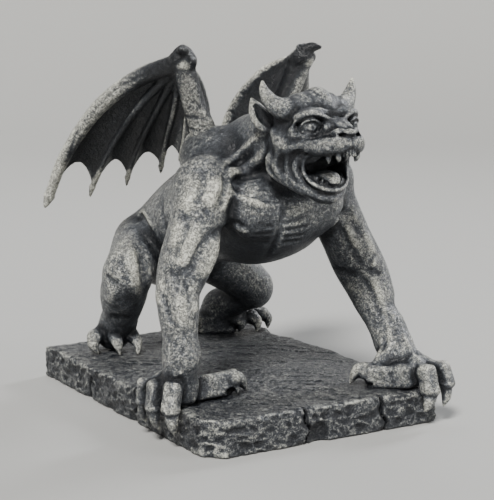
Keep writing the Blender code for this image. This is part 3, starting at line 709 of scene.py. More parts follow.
def model_eyes(clay, side):
    """A ball in a socket with a ring and a dot pressed into it, lids as arcs that lie on the ball, a
    bag beneath and a heavy brow above."""
    lump(clay, (9.4, -87.0, 138.4), (6.4, 5.0, 2.8), along=(1, 0.4, 0), k=1.6, side=side)
    lump(clay, (3.6, -92.0, 141.4), (4.2, 4.2, 4.2), k=2.2, side=side)
    lump(clay, (8.0, -84.4, 146.4), (8.2, 7.6, 3.8), along=(1, 0.25, -0.1), up=(0.1, 0.4, 1), k=2.2,
         side=side)
    hollow(clay, (10.8, -90.4, 142.4), (4.6, 2.8, 3.3), along=(1, 0.5, 0), k=1.0, side=side)
    lump(clay, EYE_BALL, (EYE_SIZE,) * 3, k=0.3, side=side)
    brow = [(2.0, -93.4, 145.2, 1.2), (5.6, -92.6, 146.8, 1.0), (9.6, -90.8, 148.2, 0.75),
            (13.4, -87.8, 147.4, 0.65), (15.8, -84.8, 144.6, 0.6), (16.4, -82.4, 141.2, 0.5)]
    roll(clay, brow, k=1.4, side=side)
    press(clay, [(4.5, -92.4, 151.2), (9.5, -89.8, 152.4), (13.6, -86.2, 151.2), (16, -82.8, 147)], 1.2,
          0.6, side)
    lump(clay, (14.8, -82.0, 139.0), (2.4, 3.8, 3.4), k=2.6, side=side)
    share = np.linspace(0, 1, 9)
    arch = np.sin(np.pi * share)
    for low, high, size, thick in ((-6, 40, 5.3, 0.85), (-6, -30, 5.2, 0.7), (-8, -52, 6.3, 0.55)):
        places = round_eye(-50 + 150 * share, low + (high - low) * arch**0.8, size)
        roll(clay, np.column_stack([places, 0.45 * thick + 0.55 * thick * arch**0.5]), k=0.5, side=side,
             spans=3)
    press(clay, round_eye(-44 + 140 * share, 2 + 58 * arch**0.8, 6.2), 0.55, 0.45, side)
    press(clay, [(5.5, -92.4, 137.0), (9, -91.6, 135.8), (12.6, -89.2, 135.6), (15.4, -85.8, 137.0)], 0.7,
          0.45, side)
    turn = np.linspace(0, 2 * np.pi, 17)
    for reach, thick, deep in ((31, 0.6, 0.8), (0.5, 0.8, 0.6)):
        press(clay, round_eye(24 + reach * np.cos(turn), 4 + reach * np.sin(turn), EYE_SIZE), thick, deep,
              side=side, spans=2)


def model_nose(clay, side):
    """The bridge widens into a snub tip with round wings, and each nostril is a short scoop."""
    roll(clay, [(1, -92, 144.8, 2.0), (1.4, -96, 143.4, 1.9), (1.6, -100, 142.2, 2.0)], k=1.4, side=side)
    lump(clay, (3.6, -100.2, 140.0), (2.6, 3.4, 1.9), k=1.2, side=side)
    roll(clay, [(6.2, -97.8, 139.0, 0.7), (5.6, -99.8, 141.0, 1.0), (3.8, -102.2, 141.7, 1.0),
                (2.0, -103.8, 140.8, 1.0)], k=0.8, side=side)
    lump(clay, (0.8, -103.4, 140.8), (1.5, 1.7, 1.6), k=0.8, side=side)
    hollow(clay, (4.0, -103.2, 139.7), (1.4, 2.4, 1.0), along=(1, -0.4, 0), k=0.3, side=side)
    press(clay, [(6.4, -96.5, 140.8), (7.2, -98.6, 138.6), (5.6, -102.4, 137.6)], 0.8, 0.5, side)


# %% Cheeks, lips and the folds round the mouth
def model_cheeks(clay, side):
    """The cheekbone runs into the upper lip as one band, with a deep groove beneath its middle."""
    band = [(17.2, -69, 139, 1.5), (17.2, -74, 135, 2.4), (15.6, -79.5, 133.4, 2.6),
            (14.4, -84.2, 134.2, 2.2), (12.6, -88.6, 135.6, 1.9), (10.8, -93, 135.4, 1.7),
            (8.6, -97.5, 134.4, 1.5)]
    roll(clay, band, k=1.8, side=side)
    under = [(15.6, -80.6, 129.4, 0.8), (14.4, -83.0, 130.6, 1.5), (13.0, -85.6, 131.2, 1.5),
             (11.6, -88.6, 131.6, 0.7)]
    groove(clay, under, k=1.2, side=side)


FOLDS = (  # for each roll the softness of its join, then the places and radii, from the lips outwards
    (1.0, (5.5, -100.4, 131.8, 0.6), (8.4, -95.5, 131.2, 0.8), (10.4, -89.5, 130.8, 0.85),
     (11.3, -85.4, 128.4, 0.9), (11.3, -83.9, 124.2, 0.9), (10.8, -85.2, 120.7, 0.9),
     (9.2, -87.8, 117.9, 0.95), (6.4, -90.2, 116, 1), (3, -91.9, 114.9, 1.05), (0, -92.5, 114.6, 1.05)),
    (2.2, (11.6, -85.6, 132.4, 1.2), (12.8, -82.8, 128.8, 1.3), (13.0, -81.0, 125.6, 1.5),
     (12.8, -79.7, 122.7, 1.5), (11.8, -81, 118.9, 1.4), (9.6, -83.6, 115.4, 1.4), (6.8, -86.3, 112.4, 1.4),
     (4, -88.6, 111.1, 1.5), (0, -90.2, 110.7, 1.5)),
    (2.4, (14.0, -81.4, 132.6, 1.2), (14.8, -78.8, 128.8, 1.4), (14.6, -76.7, 124.2, 1.5),
     (13.8, -77.7, 120.1, 1.5), (11.6, -80.2, 116.5, 1.4), (9, -82.4, 113.3, 1.2)),
    (2.4, (16.0, -75.4, 132.6, 1.3), (16.8, -73.0, 128.8, 1.4), (16.6, -71.1, 124.5, 1.6),
     (15.8, -72.6, 120.7, 1.6), (13.4, -76.1, 117.4, 1.4), (10.4, -79.6, 113.9, 1.2)),
    (1.1, (17, -65.7, 126.6, 1.6), (17, -65.9, 122.4, 1.8), (16, -70, 119.1, 1.6),
     (13.4, -76.2, 116.3, 1.4), (9.8, -81, 113.9, 1.2), (7.2, -83.9, 111.9, 1.2), (4.4, -86.5, 109.6, 1.2),
     (0, -87.9, 109.3, 1.3)),
)


def model_folds(clay, side):
    """The lip rim, three loops of skin that hang from the cheek, the jaw's edge, and two cut lines."""
    for k, *rows in FOLDS:
        roll(clay, rows, k=k, side=side)
    press(clay, [(7.6, -88.2, 113.9), (4.4, -90.7, 112.8), (0, -91.7, 112.5)], 0.8, 0.8, side)
    press(clay, [(14.6, -81.4, 130), (14.6, -79.6, 125), (13.6, -80.2, 120.4), (11.2, -83, 116.6)], 1.1,
          1.0, side)


# %% Horns, ears, tongue and teeth
def model_horns(clay, side):
    """Horns sweep out and up from a collar of skin, ears are pointed leaves, hollow in front, and
    lines over the skull part its lobes."""
    roll(clay, [(12.8, -75.4, 148.6, 5.0), (14.6, -74.6, 149.6, 5.0)], k=1.4, side=side)
    horn = [(11.5, -76.5, 147.6, 5.0), (16.4, -74.2, 149.6, 4.7), (20.2, -72, 152.6, 3.6),
            (22.9, -70.6, 157, 2.35), (23.8, -70.2, 161.4, 0.7)]
    roll(clay, horn, k=0.35, side=side)
    facing = (0.5, -0.85, 0.1)
    ear = [(15.6, -65, 140.6, 3.0), (18.0, -63, 143.4, 4.6), (20.6, -60.8, 147.6, 3.8),
           (22.6, -59, 153.4, 0.7)]
    roll(clay, ear, k=0.8, flat=(facing, 0.42), side=side)
    cup = [(17.6, -66, 142.8, 2.2), (19.6, -63.8, 146.0, 2.6), (21.6, -61.2, 150.4, 1.0)]
    groove(clay, cup, k=0.5, side=side)
    press(clay, [(3.2, -90, 153), (4.4, -84, 157), (4.8, -78, 159), (4.8, -70, 158)], 0.9, 0.6, side)
    press(clay, [(6.0, -90.5, 152.6), (3.6, -93, 149.8), (1.6, -94.6, 147.4)], 0.8, 0.8, side)
    press(clay, [(3.2, -92.6, 153.6), (1.8, -93.8, 150.4), (0.7, -95, 147.6)], 0.6, 0.6, side)
    press(clay, [(8.6, -86.2, 154.2), (10.2, -80, 156.2), (10.6, -72, 156.8)], 1.2, 0.6, side)


def model_mouth(clay):
    """A grooved tongue, small teeth along the gums, and longer fangs at the sides."""
    tongue = [(0, -77, 118.4, 5.8), (0, -84, 120.4, 5.2), (0, -88.5, 119.8, 4.3), (0, -91.6, 117.8, 2.6)]
    roll(clay, tongue, k=0.8, flat=((0, 0.15, 1), 0.42))
    press(clay, [(0, -80, 120.8), (0, -86, 121.6), (0, -91, 119.4)], 0.8, 0.5)
    press(clay, [(0, -104.8, 139), (0, -105.4, 136), (0, -104, 132.8)], 0.8, 1.1)
    for side in (-1, 1):
        for x, y, bottom, radius in ((7.3, -97.4, 127.6, 1.2), (5.0, -101.8, 128.4, 1.15)):
            roll(clay, [(x, y, 132, radius), (x * 0.98, y - 0.2, 130, radius), (x * 0.95, y, bottom, 0.5)],
                 k=0.2, side=side)
        for n in range(3):
            x, y = 0.7 + 1.25 * n, -104.4 + 0.3 * n * n
            roll(clay, [(x, y, 133.2, 0.7), (x, y, 130.8, 0.5)], k=0.2, side=side)
        for n, (x, y) in enumerate(((0.9, -91.8), (2.7, -91.4), (4.5, -90.4), (6.2, -88.6))):
            roll(clay, [(x, y + 1.2, 115.8, 0.9), (x, y + 1.2, 118.8 + (n == 3), 0.65)], k=0.25, side=side)
        gum = [(8.6, -83.7, 120.1, 1), (7.8, -86.2, 118.4, 1.1), (6.2, -88.1, 117, 1.1),
               (0, -90.4, 116.1, 1.1)]
        roll(clay, gum, k=0.6, side=side)


model_skull(figure)
for side in (-1, 1):
    for model in (model_eyes, model_nose, model_cheeks, model_folds, model_horns):
        model(figure, side)
model_mouth(figure)
print("head modelled:", int((figure.field < 0).sum()), "grid points inside")

# %% [markdown]
# ## The wings
# Each wing is a bat's: an arm bone rises from the back to the wrist, five finger bones fan out from
# there, and skin hangs between them. Over a plane through the fan, the skin is one height for each
# place, so it is a function of two parameters: the distance from the wrist and the angle round it.
# That sheet is given its thickness in a block of clay of its own, where the bones, the collar and
# the claws are pressed onto it. The left wing is modelled, and the right one is its mirror image.

# %% Finger bones and the plane of the fan
WING_STEP = 0.5 * GRID_SCALE
WRIST = np.array([33.0, -13.5, 168.0])
DOWN = unit((0, 1, -1))
SPREAD = np.array([1.0, 0, 0])
FACE = np.cross(DOWN, SPREAD) * -1
BONES = [
    [(*WRIST, 4.8), (45, 5, 161, 4.3), (58, 24, 146, 3.7), (68.5, 41, 122, 3.0), (73, 51.5, 101, 2.4)],
    [(*WRIST, 3.0), (43, 12, 146, 1.7), (48, 34, 124, 1.5), (50, 50.5, 104, 1.4)],
    [(*WRIST, 2.8), (35, 8, 145, 1.6), (34, 30, 126, 1.4), (31, 49, 108, 1.3)],
    [(*WRIST, 2.6), (29, 2, 146, 1.6), (23.5, 20, 131, 1.4), (18, 37, 114, 1.3)],
    [(*WRIST, 2.6), (27, -8, 148, 1.6), (22, 4, 132, 1.4), (17, 18, 119, 1.3)],
]
CLAWS = [(74.5, 54, 95), (50, 53.5, 99), (30.2, 52, 103.5), (17, 39.5, 110.5)]


def fan(points):
    """Distance from the wrist, angle round it in degrees, and height over the plane of the fan."""
    rel = np.asarray(points, float)[..., :3] - WRIST
    down, across, height = rel @ DOWN, rel @ SPREAD, rel @ FACE
    return np.hypot(down, across), np.degrees(np.arctan2(across, down)), height


def skin_sheet(clay, sag, notch, thickness):
    """The skin between neighbouring bones: at distance r and angle a, with s the share of the way
    from one bone to the next, the height is the mean of the bones' heights weighted by s, plus
    sag x sin(pi s), which fades in over the first 40 mm. The sheet ends at the tips' distance
    x (1 - notch x sin(pi s) ^ 0.8)."""
    x, y, z = np.meshgrid(*clay.axes, indexing="ij", sparse=True)
    x, y, z = x - WRIST[0], y - WRIST[1], z - WRIST[2]
    down, across, height = (x * e[0] + y * e[1] + z * e[2] for e in (DOWN, SPREAD, FACE))
    radius = np.hypot(down, across)
    angle = np.degrees(np.arctan2(across, down))
    sheet = np.full(clay.field.shape, FAR, np.float32)
    tracks = [fan(curve(bone, 8)) for bone in BONES]
    for (r_a, a_a, h_a), (r_b, a_b, h_b) in zip(tracks[:-1], tracks[1:]):
        first, second = np.interp(radius, r_a, a_a), np.interp(radius, r_b, a_b)
        share = np.clip((angle - first) / np.minimum(second - first, -1e-3), -0.2, 1.2)
        hump = np.sin(np.pi * np.clip(share, 0, 1))
        level = np.interp(radius, r_a, h_a) * (1 - share) + np.interp(radius, r_b, h_b) * share
        fill = np.clip(radius / 40, 0, 1)
        level = level + sag * hump * fill
        reach = (r_a[-1] * (1 - share) + r_b[-1] * share) * (1 - notch * hump**0.8)
        across_way = np.radians(np.abs(second - first))
        rise = np.abs(np.interp(radius, r_a, h_a) - np.interp(radius, r_b, h_b))
        steep = rise / (radius * across_way + 1)
        gap = np.abs(height - level) / np.sqrt(1.1 + steep**2) - thickness / 2
        gap = np.maximum(gap, (radius - reach) * 0.8)
        side_gap = (np.abs(share - 0.5) - 0.5) * np.maximum(radius, 1) * across_way
        np.minimum(sheet, np.maximum(gap, side_gap * 0.8), out=sheet)
    return sheet


FIN = [(3.6, 13.5, 118), (4.0, 12.5, 131), (6.4, 9.5, 142), (10.4, 5.8, 151), (15.2, 2.0, 158),
       (21.6, -2.4, 164.2), (30, -10, 168.6)]
ARM = [(18, -13.5, 124, 7.2), (20, -12, 133, 6.6), (25, -11, 147, 5.4), (29.5, -12.5, 158, 5.2),
       (*WRIST - (0, 0, 1.0), 5.2)]


def web(clay, first, second, sag):
    """Hollow skin between two curves as a ruled surface: a thin roll from each place on the first one
    to the same share of the second, with its middle moved by sag x sin(pi share)."""
    shares = np.linspace(0.04, 0.96, int(56 / GRID_SCALE))
    sides = []
    for line in (first, second):
        line = curve(line, 12)
        along = np.linspace(0, 1, len(line))
        sides.append(np.stack([np.interp(shares, along, line[:, i]) for i in range(3)], 1))
    for share, start, end in zip(shares, *sides):
        middle = 0.5 * (start + end) + np.array(sag) * np.sin(np.pi * share)
        roll(clay, [(*start, 1.1), (*middle, 0.9), (*end, 1.0)], k=0.8, spans=3)


def wing_fin(clay):
    """Behind the arm bone a flat band runs from the spine to the wrist, with hollow skin between the
    two; another web joins the arm to the last finger bone."""
    web(clay, ARM, FIN, (0.75, 1.8, -0.6))
    web(clay, BONES[4], ARM[::-1], (1.5, 0.0, 0.0))
    roll(clay, [(*p, 2.0) for p in FIN], k=0.8, flat=((0.55, 0.75, 0), 0.6))
    for n in (2, 3):
        a = np.array(FIN[n])
        press(clay, [a + (2.4, -1.6, -1.0), a + (0, -1.4, 0.5), a + (-2.0, 1.0, 1.2)], 0.6, 0.5)


# %% Model one wing
def model_wing(clay):
    """Skin, arm and finger bones with their claws, the wrist with its collar and thumb, and veins."""
    sheet = skin_sheet(clay, sag=3.8, notch=0.15, thickness=1.5)
    clay.join((slice(None),) * 3, sheet, 0.1)
    wing_fin(clay)
    roll(clay, ARM, k=1.2)
    for bone in BONES:
        roll(clay, bone, k=0.6)
    for bone, tip in zip(BONES, CLAWS):
        end, thick = np.array(bone[-1][:3]), bone[-1][3]
        roll(clay, [(*end, thick * 0.95), (*(0.5 * (end + tip)), thick * 0.8), (*tip, 0.5)], k=0.25)
        lump(clay, end, (thick * 1.2,) * 3, k=0.4)
    lump(clay, (33, -14, 169.0), (6.0, 6.0, 4.6), k=2)
    thumb = np.array([(33.4, -15.2, 171.2), (35.4, -18.6, 174.0), (38.6, -21.6, 174.2)])
    way = unit(thumb[1] - thumb[0])
    e1 = unit(np.cross(way, (0, 0, 1)))
    e2 = np.cross(way, e1)
    turn = np.linspace(0, 2 * np.pi, 9)[:, None]
    for place, size, thick in ((0.0, 4.2, 1.1), (2.2, 3.4, 0.9)):
        ring = thumb[0] + way * place + size * (np.cos(turn) * e1 + np.sin(turn) * e2)
        roll(clay, np.hstack([ring, thick + 0 * turn]), k=0.6, spans=3)
    roll(clay, [(*thumb[0], 3.6), (*thumb[1], 2.6), (*thumb[2], 0.9)], k=0.5)
    press(clay, [(40, -8, 166), (52, 12, 156), (63, 30, 138), (70, 44, 116)], 1.0, 0.5)
    for vein in (
        [(50, 20, 140), (53, 26, 136), (57, 30, 132), (60, 36, 124)],
        [(53, 26, 136), (55, 33, 126), (56, 41, 118)],
        [(46, 12, 150), (50, 18, 146), (54, 22, 143)],
        [(57, 30, 132), (62, 34, 130)],
        [(56, 41, 118), (60, 46, 112)],
        [(55, 33, 126), (51, 40, 119)],
    ):
        press(clay, vein, 0.6, -0.45)
    for z in (136, 142):
        press(clay, [(24, -17, z), (27.5, -12, z + 1), (26, -6, z + 2)], 0.8, 0.4)


WING_AXES = (np.arange(0.5, 80, WING_STEP), np.arange(-26, 60, WING_STEP), np.arange(91, 178.5, WING_STEP))
wing_left_clay = Clay(*WING_AXES)
model_wing(wing_left_clay)
wing_ribs = Clay(*WING_AXES)  # the raised lines alone, which the dry brush finds
for line in (*BONES, [(*p, 2.0) for p in FIN]):
    roll(wing_ribs, line, k=0.6)
lump(wing_ribs, (33, -14.5, 169.5), (6.2, 6.4, 5.0), k=0.6)
roll(wing_ribs, [(33.4, -15.2, 171.2, 4.0), (35.4, -18.6, 174.0, 3.0), (38.6, -21.6, 174.2, 1.0)], k=0.6)
print("wing modelled:", int((wing_left_clay.field < 0).sum()), "grid points inside")

# %% [markdown]
# ## The slab
# The plinth looks like split slate: its top is finely layered and almost flat, its sides are
# roughly chopped, a corner is knocked off and cracks run in from the edges. It is another block of
# clay. A flat box is the start, waves of noise push its sides in, and cracks and chips are cut
# from it.

# %% Noise that belongs to a place
AXIS_FACTORS = (374761393, 668265263, 2147483647)  # large odd numbers scatter neighbouring corners
SEED_FACTOR, STIR_FACTOR = 974634777, 1274126177


def noise(x, y, z, seed):
    """Smooth noise between -1 and 1: a random number at each corner of the unit cube around a point,
    blended with the cubic 3 t^2 - 2 t^3 along each axis."""
    cells = [np.floor(v).astype(np.int64) for v in (x, y, z)]
    ease = [(v - c) ** 2 * (3 - 2 * (v - c)) for v, c in zip((x, y, z), cells)]
    total = 0
    for corner in np.ndindex(2, 2, 2):
        mix = seed * SEED_FACTOR
        share = 1
        for cell, step, part, factor in zip(cells, corner, ease, AXIS_FACTORS):
            mix = mix + (cell + step) * factor
            share = share * (part if step else 1 - part)
        mix = (mix ^ (mix >> 13)) * STIR_FACTOR & 0x7FFFFFFF
        total = total + share * (((mix ^ (mix >> 16)) & 0xFFFF) / 32767.5 - 1)
    return total


def layered(x, y, z, seed, steps=3):
    """Noise summed over octaves: each one has twice the frequency and half the height."""
    return sum(noise(x * 2**n, y * 2**n, z * 2**n, seed + n) / 2**n for n in range(steps))


# %% The hewn slab
SLAB_STEP = 0.8 * GRID_SCALE


def model_slab():
    """Box distance with a cut corner, pushed in at the sides by noise. The top gets long flat waves
    and ledges of split leaves, and drops a little towards its edges."""
    low, high = slab_low + (0.4, 0.4, 0), slab_high - (0.4, 0.4, 0)
    clay = Clay(
        np.arange(low[0] - 2, high[0] + 3, SLAB_STEP), np.arange(low[1] - 2, high[1] + 3, SLAB_STEP),
        np.arange(-2, high[2] + 3, 0.75 * SLAB_STEP),
    )
    x, y, z = np.meshgrid(*clay.axes, indexing="ij", sparse=True)
    half = 0.5 * (high - low)
    centre = 0.5 * (high + low)
    side = np.maximum(np.abs(x - centre[0]) - half[0], np.abs(y - centre[1]) - half[1])
    # one corner is cut off at 45 degrees, 8.5 mm along each side
    cut_corner = (-(x - low[0]) - (y - low[1]) + 8.5) * 0.707
    side = np.maximum(side, cut_corner)
    rough = 0.5 + 0.5 * layered(x / 9, y / 9, z / 5, 3)
    facets = np.abs(layered(x / 5 + z / 9, y / 5 + z / 7, z / 4, 11, 2))
    side = side + 0.8 * rough + 1.1 * facets
    top = z - high[2] + 0.35 + 0.18 * layered(x / 24 + y / 50, y / 9 - x / 20, z / 9, 5)
    leaf = 1.6 * layered(x / 30, y / 22 + x / 60, 0 * z, 31, 4)
    ledge = 0.35 * (np.floor(leaf) + np.clip(6 * (leaf % 1), 0, 1))
    top = top + ledge + 0.12 * layered(x / 2.6, y / 2.6, 0 * z, 41, 2)
    lip = np.clip(1 + side / 4, 0, 1)
    top = top + 1.1 * lip**3 * (0.6 + 0.6 * layered(x / 7, y / 7, z / 7, 21, 2))
    shape = np.maximum(np.maximum(side, top), -z)
    clay.field[:] = np.minimum(shape, FAR)
    return clay


def crack(clay, start, way, deep, wide, high, seed):
    """A wandering slit from one edge, cut level by level as a wedge that leans with two sine waves."""
    start, way = np.array(start, float), unit(way)
    across = np.array([-way[1], way[0], 0])
    for level in np.arange(0, high, 1.2 * GRID_SCALE):
        lean = 1.4 * np.sin(level / 3.1 + seed) + 0.7 * np.sin(level / 1.3 + 2 * seed)
        spot = start + across * lean + (0, 0, level)
        wedge = [(*(spot - way * 3), wide), (*(spot + way * deep * 0.4), 0.6 * wide)]
        wedge.append((*(spot + way * deep), 0.15))
        groove(clay, wedge, k=0.3, spans=1)


FRONT, BACK, RIGHT = slab_low[1], slab_high[1], slab_low[0]
CRACKS = (  # start, direction, depth, width and top, all in mm
    ((RIGHT, 33, 0), (1, 0, 0), 6.0, 1.7, 12), ((RIGHT, -17, 0), (1, 0, 0), 6.5, 1.6, 19),
    ((-11, FRONT, 0), (0, 1, 0), 6.0, 1.15, 19), ((31, FRONT, 0), (0, 1, 0), 6.0, 1.15, 19),
)
CHIPS = (  # centre and the three radii
    ((-12, FRONT - 1, 17), (5, 3, 3)), ((32, FRONT - 1, 18), (4.5, 3, 3.5)),
    ((-4.6, FRONT - 0.4, 2), (6.0, 4.2, 8.5)), ((-63, 35, 0), (3, 6, 7)), ((-63, -15, 1), (3, 5, 5)),
    ((63, 20, 17), (4, 9, 4)), ((62, 52, 17), (5, 12, 3)), ((38, BACK, 17), (14, 5, 4)),
    ((-20, BACK + 1, 16), (10, 4, 5)), ((63, -40, 17), (3, 12, 4)),
)
slab_clay = model_slab()
for seed, (start, way, deep, wide, high) in enumerate(CRACKS, start=1):
    crack(slab_clay, start, way, deep, wide, high, seed)
for centre, radii in CHIPS:
    hollow(slab_clay, centre, radii, k=0.4)
print("slab modelled:", int((slab_clay.field < 0).sum()), "grid points inside")

# %% [markdown]
# ## From clay to stone
# The clay becomes four meshes: the figure, its two wings and the slab. Such figurines are often
# cast in the same parts, with the wings glued into the back. The skin is taken from each block, the
# Decimate modifier then spends the faces where the surface bends most, and every point gets two
# measures: how hollow the place is, for the dark wash and for painted shade in shut-away places, on
# what faces down and beside the figure, and how sharp, for the dry brush.

# %% Skin, thin out and measure
def largest_part(verts, quads):
    """Keep the biggest connected part. Each point takes the lowest number among its neighbours,
    and then the number of that point, until nothing changes."""
    label = np.arange(len(verts))
    a, b = quads.ravel(), np.roll(quads, 1, axis=1).ravel()
    while True:
        low = label.copy()
        np.minimum.at(low, a, label[b])
        np.minimum.at(low, b, label[a])
        low = low[low]
        if np.array_equal(low, label):
            break
        label = low
    names, sizes = np.unique(label, return_counts=True)
    keep = label == names[sizes.argmax()]
    number = np.cumsum(keep) - 1
    return verts[keep], number[quads[keep[quads[:, 0]]]]


def mesh_of(name, verts, quads):
    """A mesh in metres from points in mm and rings of four."""
    mesh = bpy.data.meshes.new(name)
    mesh.vertices.add(len(verts))
    mesh.vertices.foreach_set("co", (verts * MM).astype(np.float32).ravel())
    mesh.loops.add(quads.size)
    mesh.loops.foreach_set("vertex_index", quads.ravel().astype(np.int32))
    mesh.polygons.add(len(quads))
    mesh.polygons.foreach_set("loop_start", np.arange(0, quads.size, 4, dtype=np.int32))
    mesh.update(calc_edges=True)
    return mesh


def bent(clay, points, normals):
    """How a surface bends. Over a ring round the point, lifted by half its radius, the clay's distance
    is half the radius on a flat place, more on a ridge and less in a groove. The measure is the
    weighted mean of the differences over three rings, each divided by its radius."""
    side = np.cross(normals, (0.36, 0.48, 0.80))
    side /= np.linalg.norm(side, axis=1)[:, None] + 1e-9
    other = np.cross(normals, side)
    total = np.zeros(len(points))
    for radius, weight in ((1.0, 0.3), (2.4, 0.4), (5.0, 0.3)):
        for turn in np.arange(8) * np.pi / 4:
            way = np.cos(turn) * side + np.sin(turn) * other
            lift = depth_at(clay, points + radius * (0.5 * normals + way)) - 0.5 * radius
            total += lift * weight / radius / 8
    return total


def closed_in(clay, points, normals):
    """How shut away a place is: step out along the normal by d, and over open ground the distance is d,
    while in a fold or an armpit it is less. The mean over the steps of 1 - distance / d, where the
    block knows no distance over FAR."""
    steps = (1.0, 2.2, 4.0, 6.5, 10.0, 14.0)
    shut = [1 - depth_at(clay, points + normals * d) / min(d, FAR) for d in steps]
    return sum(np.clip(share, 0, 1.5) for share in shut) / len(steps)


GRAIN_SIZE = 1.1  # the width of the stone powder's bumps, in mm


def carve(
    name, clay, node, faces, shade=0.80, sharp=1.0, relief=0.08, mirrored=False, near=None, ribs=None,
):
    """Make the piece: skin, thinning, smooth shading and the two painter's measures. The dark stays in
    hollows as a wash, and lies as painted shade in shut-away places, on what faces down (as much as
    shade says) and beside the clay named near. The brush catches what is sharp, and the ribs. The
    grain moves each point along its normal by relief mm."""
    verts, quads = largest_part(*skin(clay))  # each quad becomes two triangles before the thinning
    rough = bpy.data.objects.new(name + "_rough", mesh_of(name + "_rough", verts, quads))
    scene.collection.objects.link(rough)
    thin = rough.modifiers.new("thin", "DECIMATE")
    thin.ratio = min(1.0, faces / (2 * len(quads)))
    mesh = bpy.data.meshes.new_from_object(rough.evaluated_get(bpy.context.evaluated_depsgraph_get()))
    bpy.data.objects.remove(rough)
    mesh.name = name
    points = np.empty(len(mesh.vertices) * 3, np.float32)
    normals = np.empty_like(points)
    mesh.vertices.foreach_get("co", points)
    mesh.vertex_normals.foreach_get("vector", normals)
    points, normals = points.reshape(-1, 3) / MM, normals.reshape(-1, 3)
    bend = bent(clay, points, normals)
    grain = layered(*(points.T / GRAIN_SIZE), 51, 2)
    # grooves get the wash, shut-away places get painted shade, ridges are worn, and the grain is a little of
    # both
    hollow = closed_in(clay, points, normals) * 0.9 + np.clip(-bend * 3, 0, 1)
    # painted shade: darker on what faces down, as much as shade says
    hollow += shade * np.clip(-normals[:, 2], 0, 1) - 0.10 * grain
    worn = sharp * (0.3 * np.tanh(bend * 4) + 0.35 * np.clip(4 * bend - 0.6, 0, 1)) + 0.16 * grain
    # painted shade beside the clay named near, such as on the slab round the figure's hands and feet
    if near is not None:
        hollow += np.clip(1 - depth_at(near, points) / 5.0, 0, 1) ** 2 * 0.6
    if ribs is not None:
        # on a rib, and fading out over 0.9 mm beside it, there is less wash and painted shade and more brush
        raised = np.clip(1 - depth_at(ribs, points) / 0.9, 0, 1)
        hollow -= 0.30 + 0.20 * raised
        worn += 0.58 * raised
    for label, values in (("hollow", hollow), ("worn", worn)):
        measure = mesh.attributes.new(label, "FLOAT", "POINT")
        measure.data.foreach_set("value", values.astype(np.float32))
    points += normals * (relief * grain)[:, None]
    points[:, 2] = np.maximum(points[:, 2], 0.0)
    if mirrored:
        points[:, 0] *= -1
        mesh.flip_normals()
    mesh.vertices.foreach_set("co", (points * MM).astype(np.float32).ravel())
    mesh.shade_smooth()
    piece = bpy.data.objects.new(name, mesh)
    scene.collection.objects.link(piece)
    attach(piece, "root")
    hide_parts(node)
    print(name, len(mesh.polygons), "faces; hollow", hollow.mean().round(3), "worn", worn.mean().round(3))
    return piece


figure_piece = carve("figure_casting", figure, "figure", 196_000)
wing_pieces = []
for hand, mirrored in (("left", False), ("right", True)):
    wing_pieces.append(carve(
        f"wing_{hand}_casting", wing_left_clay, f"wing_{hand}", 120_000,
        shade=0.15, sharp=2.0, mirrored=mirrored, ribs=wing_ribs,
    ))
slab_piece = carve(
    "slab_casting", slab_clay, "plinth", 180_000, sharp=2.2, relief=0.16, near=figure,
)

# %% [markdown]
# ## The paint
# The casting is painted nearly black-grey, wiped so that the dark stays in the hollows, and then
# brushed with a dry, light warm grey that only catches on raised places and on the fine grain. The
# same near black is also laid on as painted shade in shut-away places, on what faces down and on
# the slab beside the figure.
# Fine wandering lines run through the paint, dark on the figure and the wings and mostly light on
# the slab. Every material does the same steps, so they are one shader node group.

# %% Helpers for shader nodes
class Nodes:
    """A short way to add and join shader nodes in one tree."""

    def __init__(self, tree):
        self.tree = tree

    def add(self, kind, values=(), **settings):
        """Add a node, set its properties, then its inputs by name or number: a socket is joined."""
        node = self.tree.nodes.new(kind)
        for key, value in settings.items():
            setattr(node, key, value)
        for key, value in dict(values).items():
            if isinstance(value, bpy.types.NodeSocket):
                self.tree.links.new(value, node.inputs[key])
            else:
                node.inputs[key].default_value = value
        return node

    def math(self, operation, a, b=0.0, c=0.0):
        """One Math node; the result as a socket."""
        return self.add("ShaderNodeMath", {0: a, 1: b, 2: c}, operation=operation).outputs[0]

    def ramp(self, value, low, high):
        """Map a value from low..high to a smooth 0..1."""
        values = {"Value": value, "From Min": low, "From Max": high, "To Min": 0.0, "To Max": 1.0}
        return self.add("ShaderNodeMapRange", values, interpolation_type="SMOOTHSTEP").outputs["Result"]

    def mix(self, share, a, b):
        """Mix two colours."""
        return self.add("ShaderNodeMix", {0: share, 6: a, 7: b}, data_type="RGBA").outputs[2]

    def noise(self, place, scale, detail=3.0, rough=0.55, warp=0.0):
        """Noise in cycles per metre, as a socket around 0.5."""
        values = {"Vector": place, "Scale": scale, "Detail": detail, "Roughness": rough, "Distortion": warp}
        return self.add("ShaderNodeTexNoise", values).outputs[0]


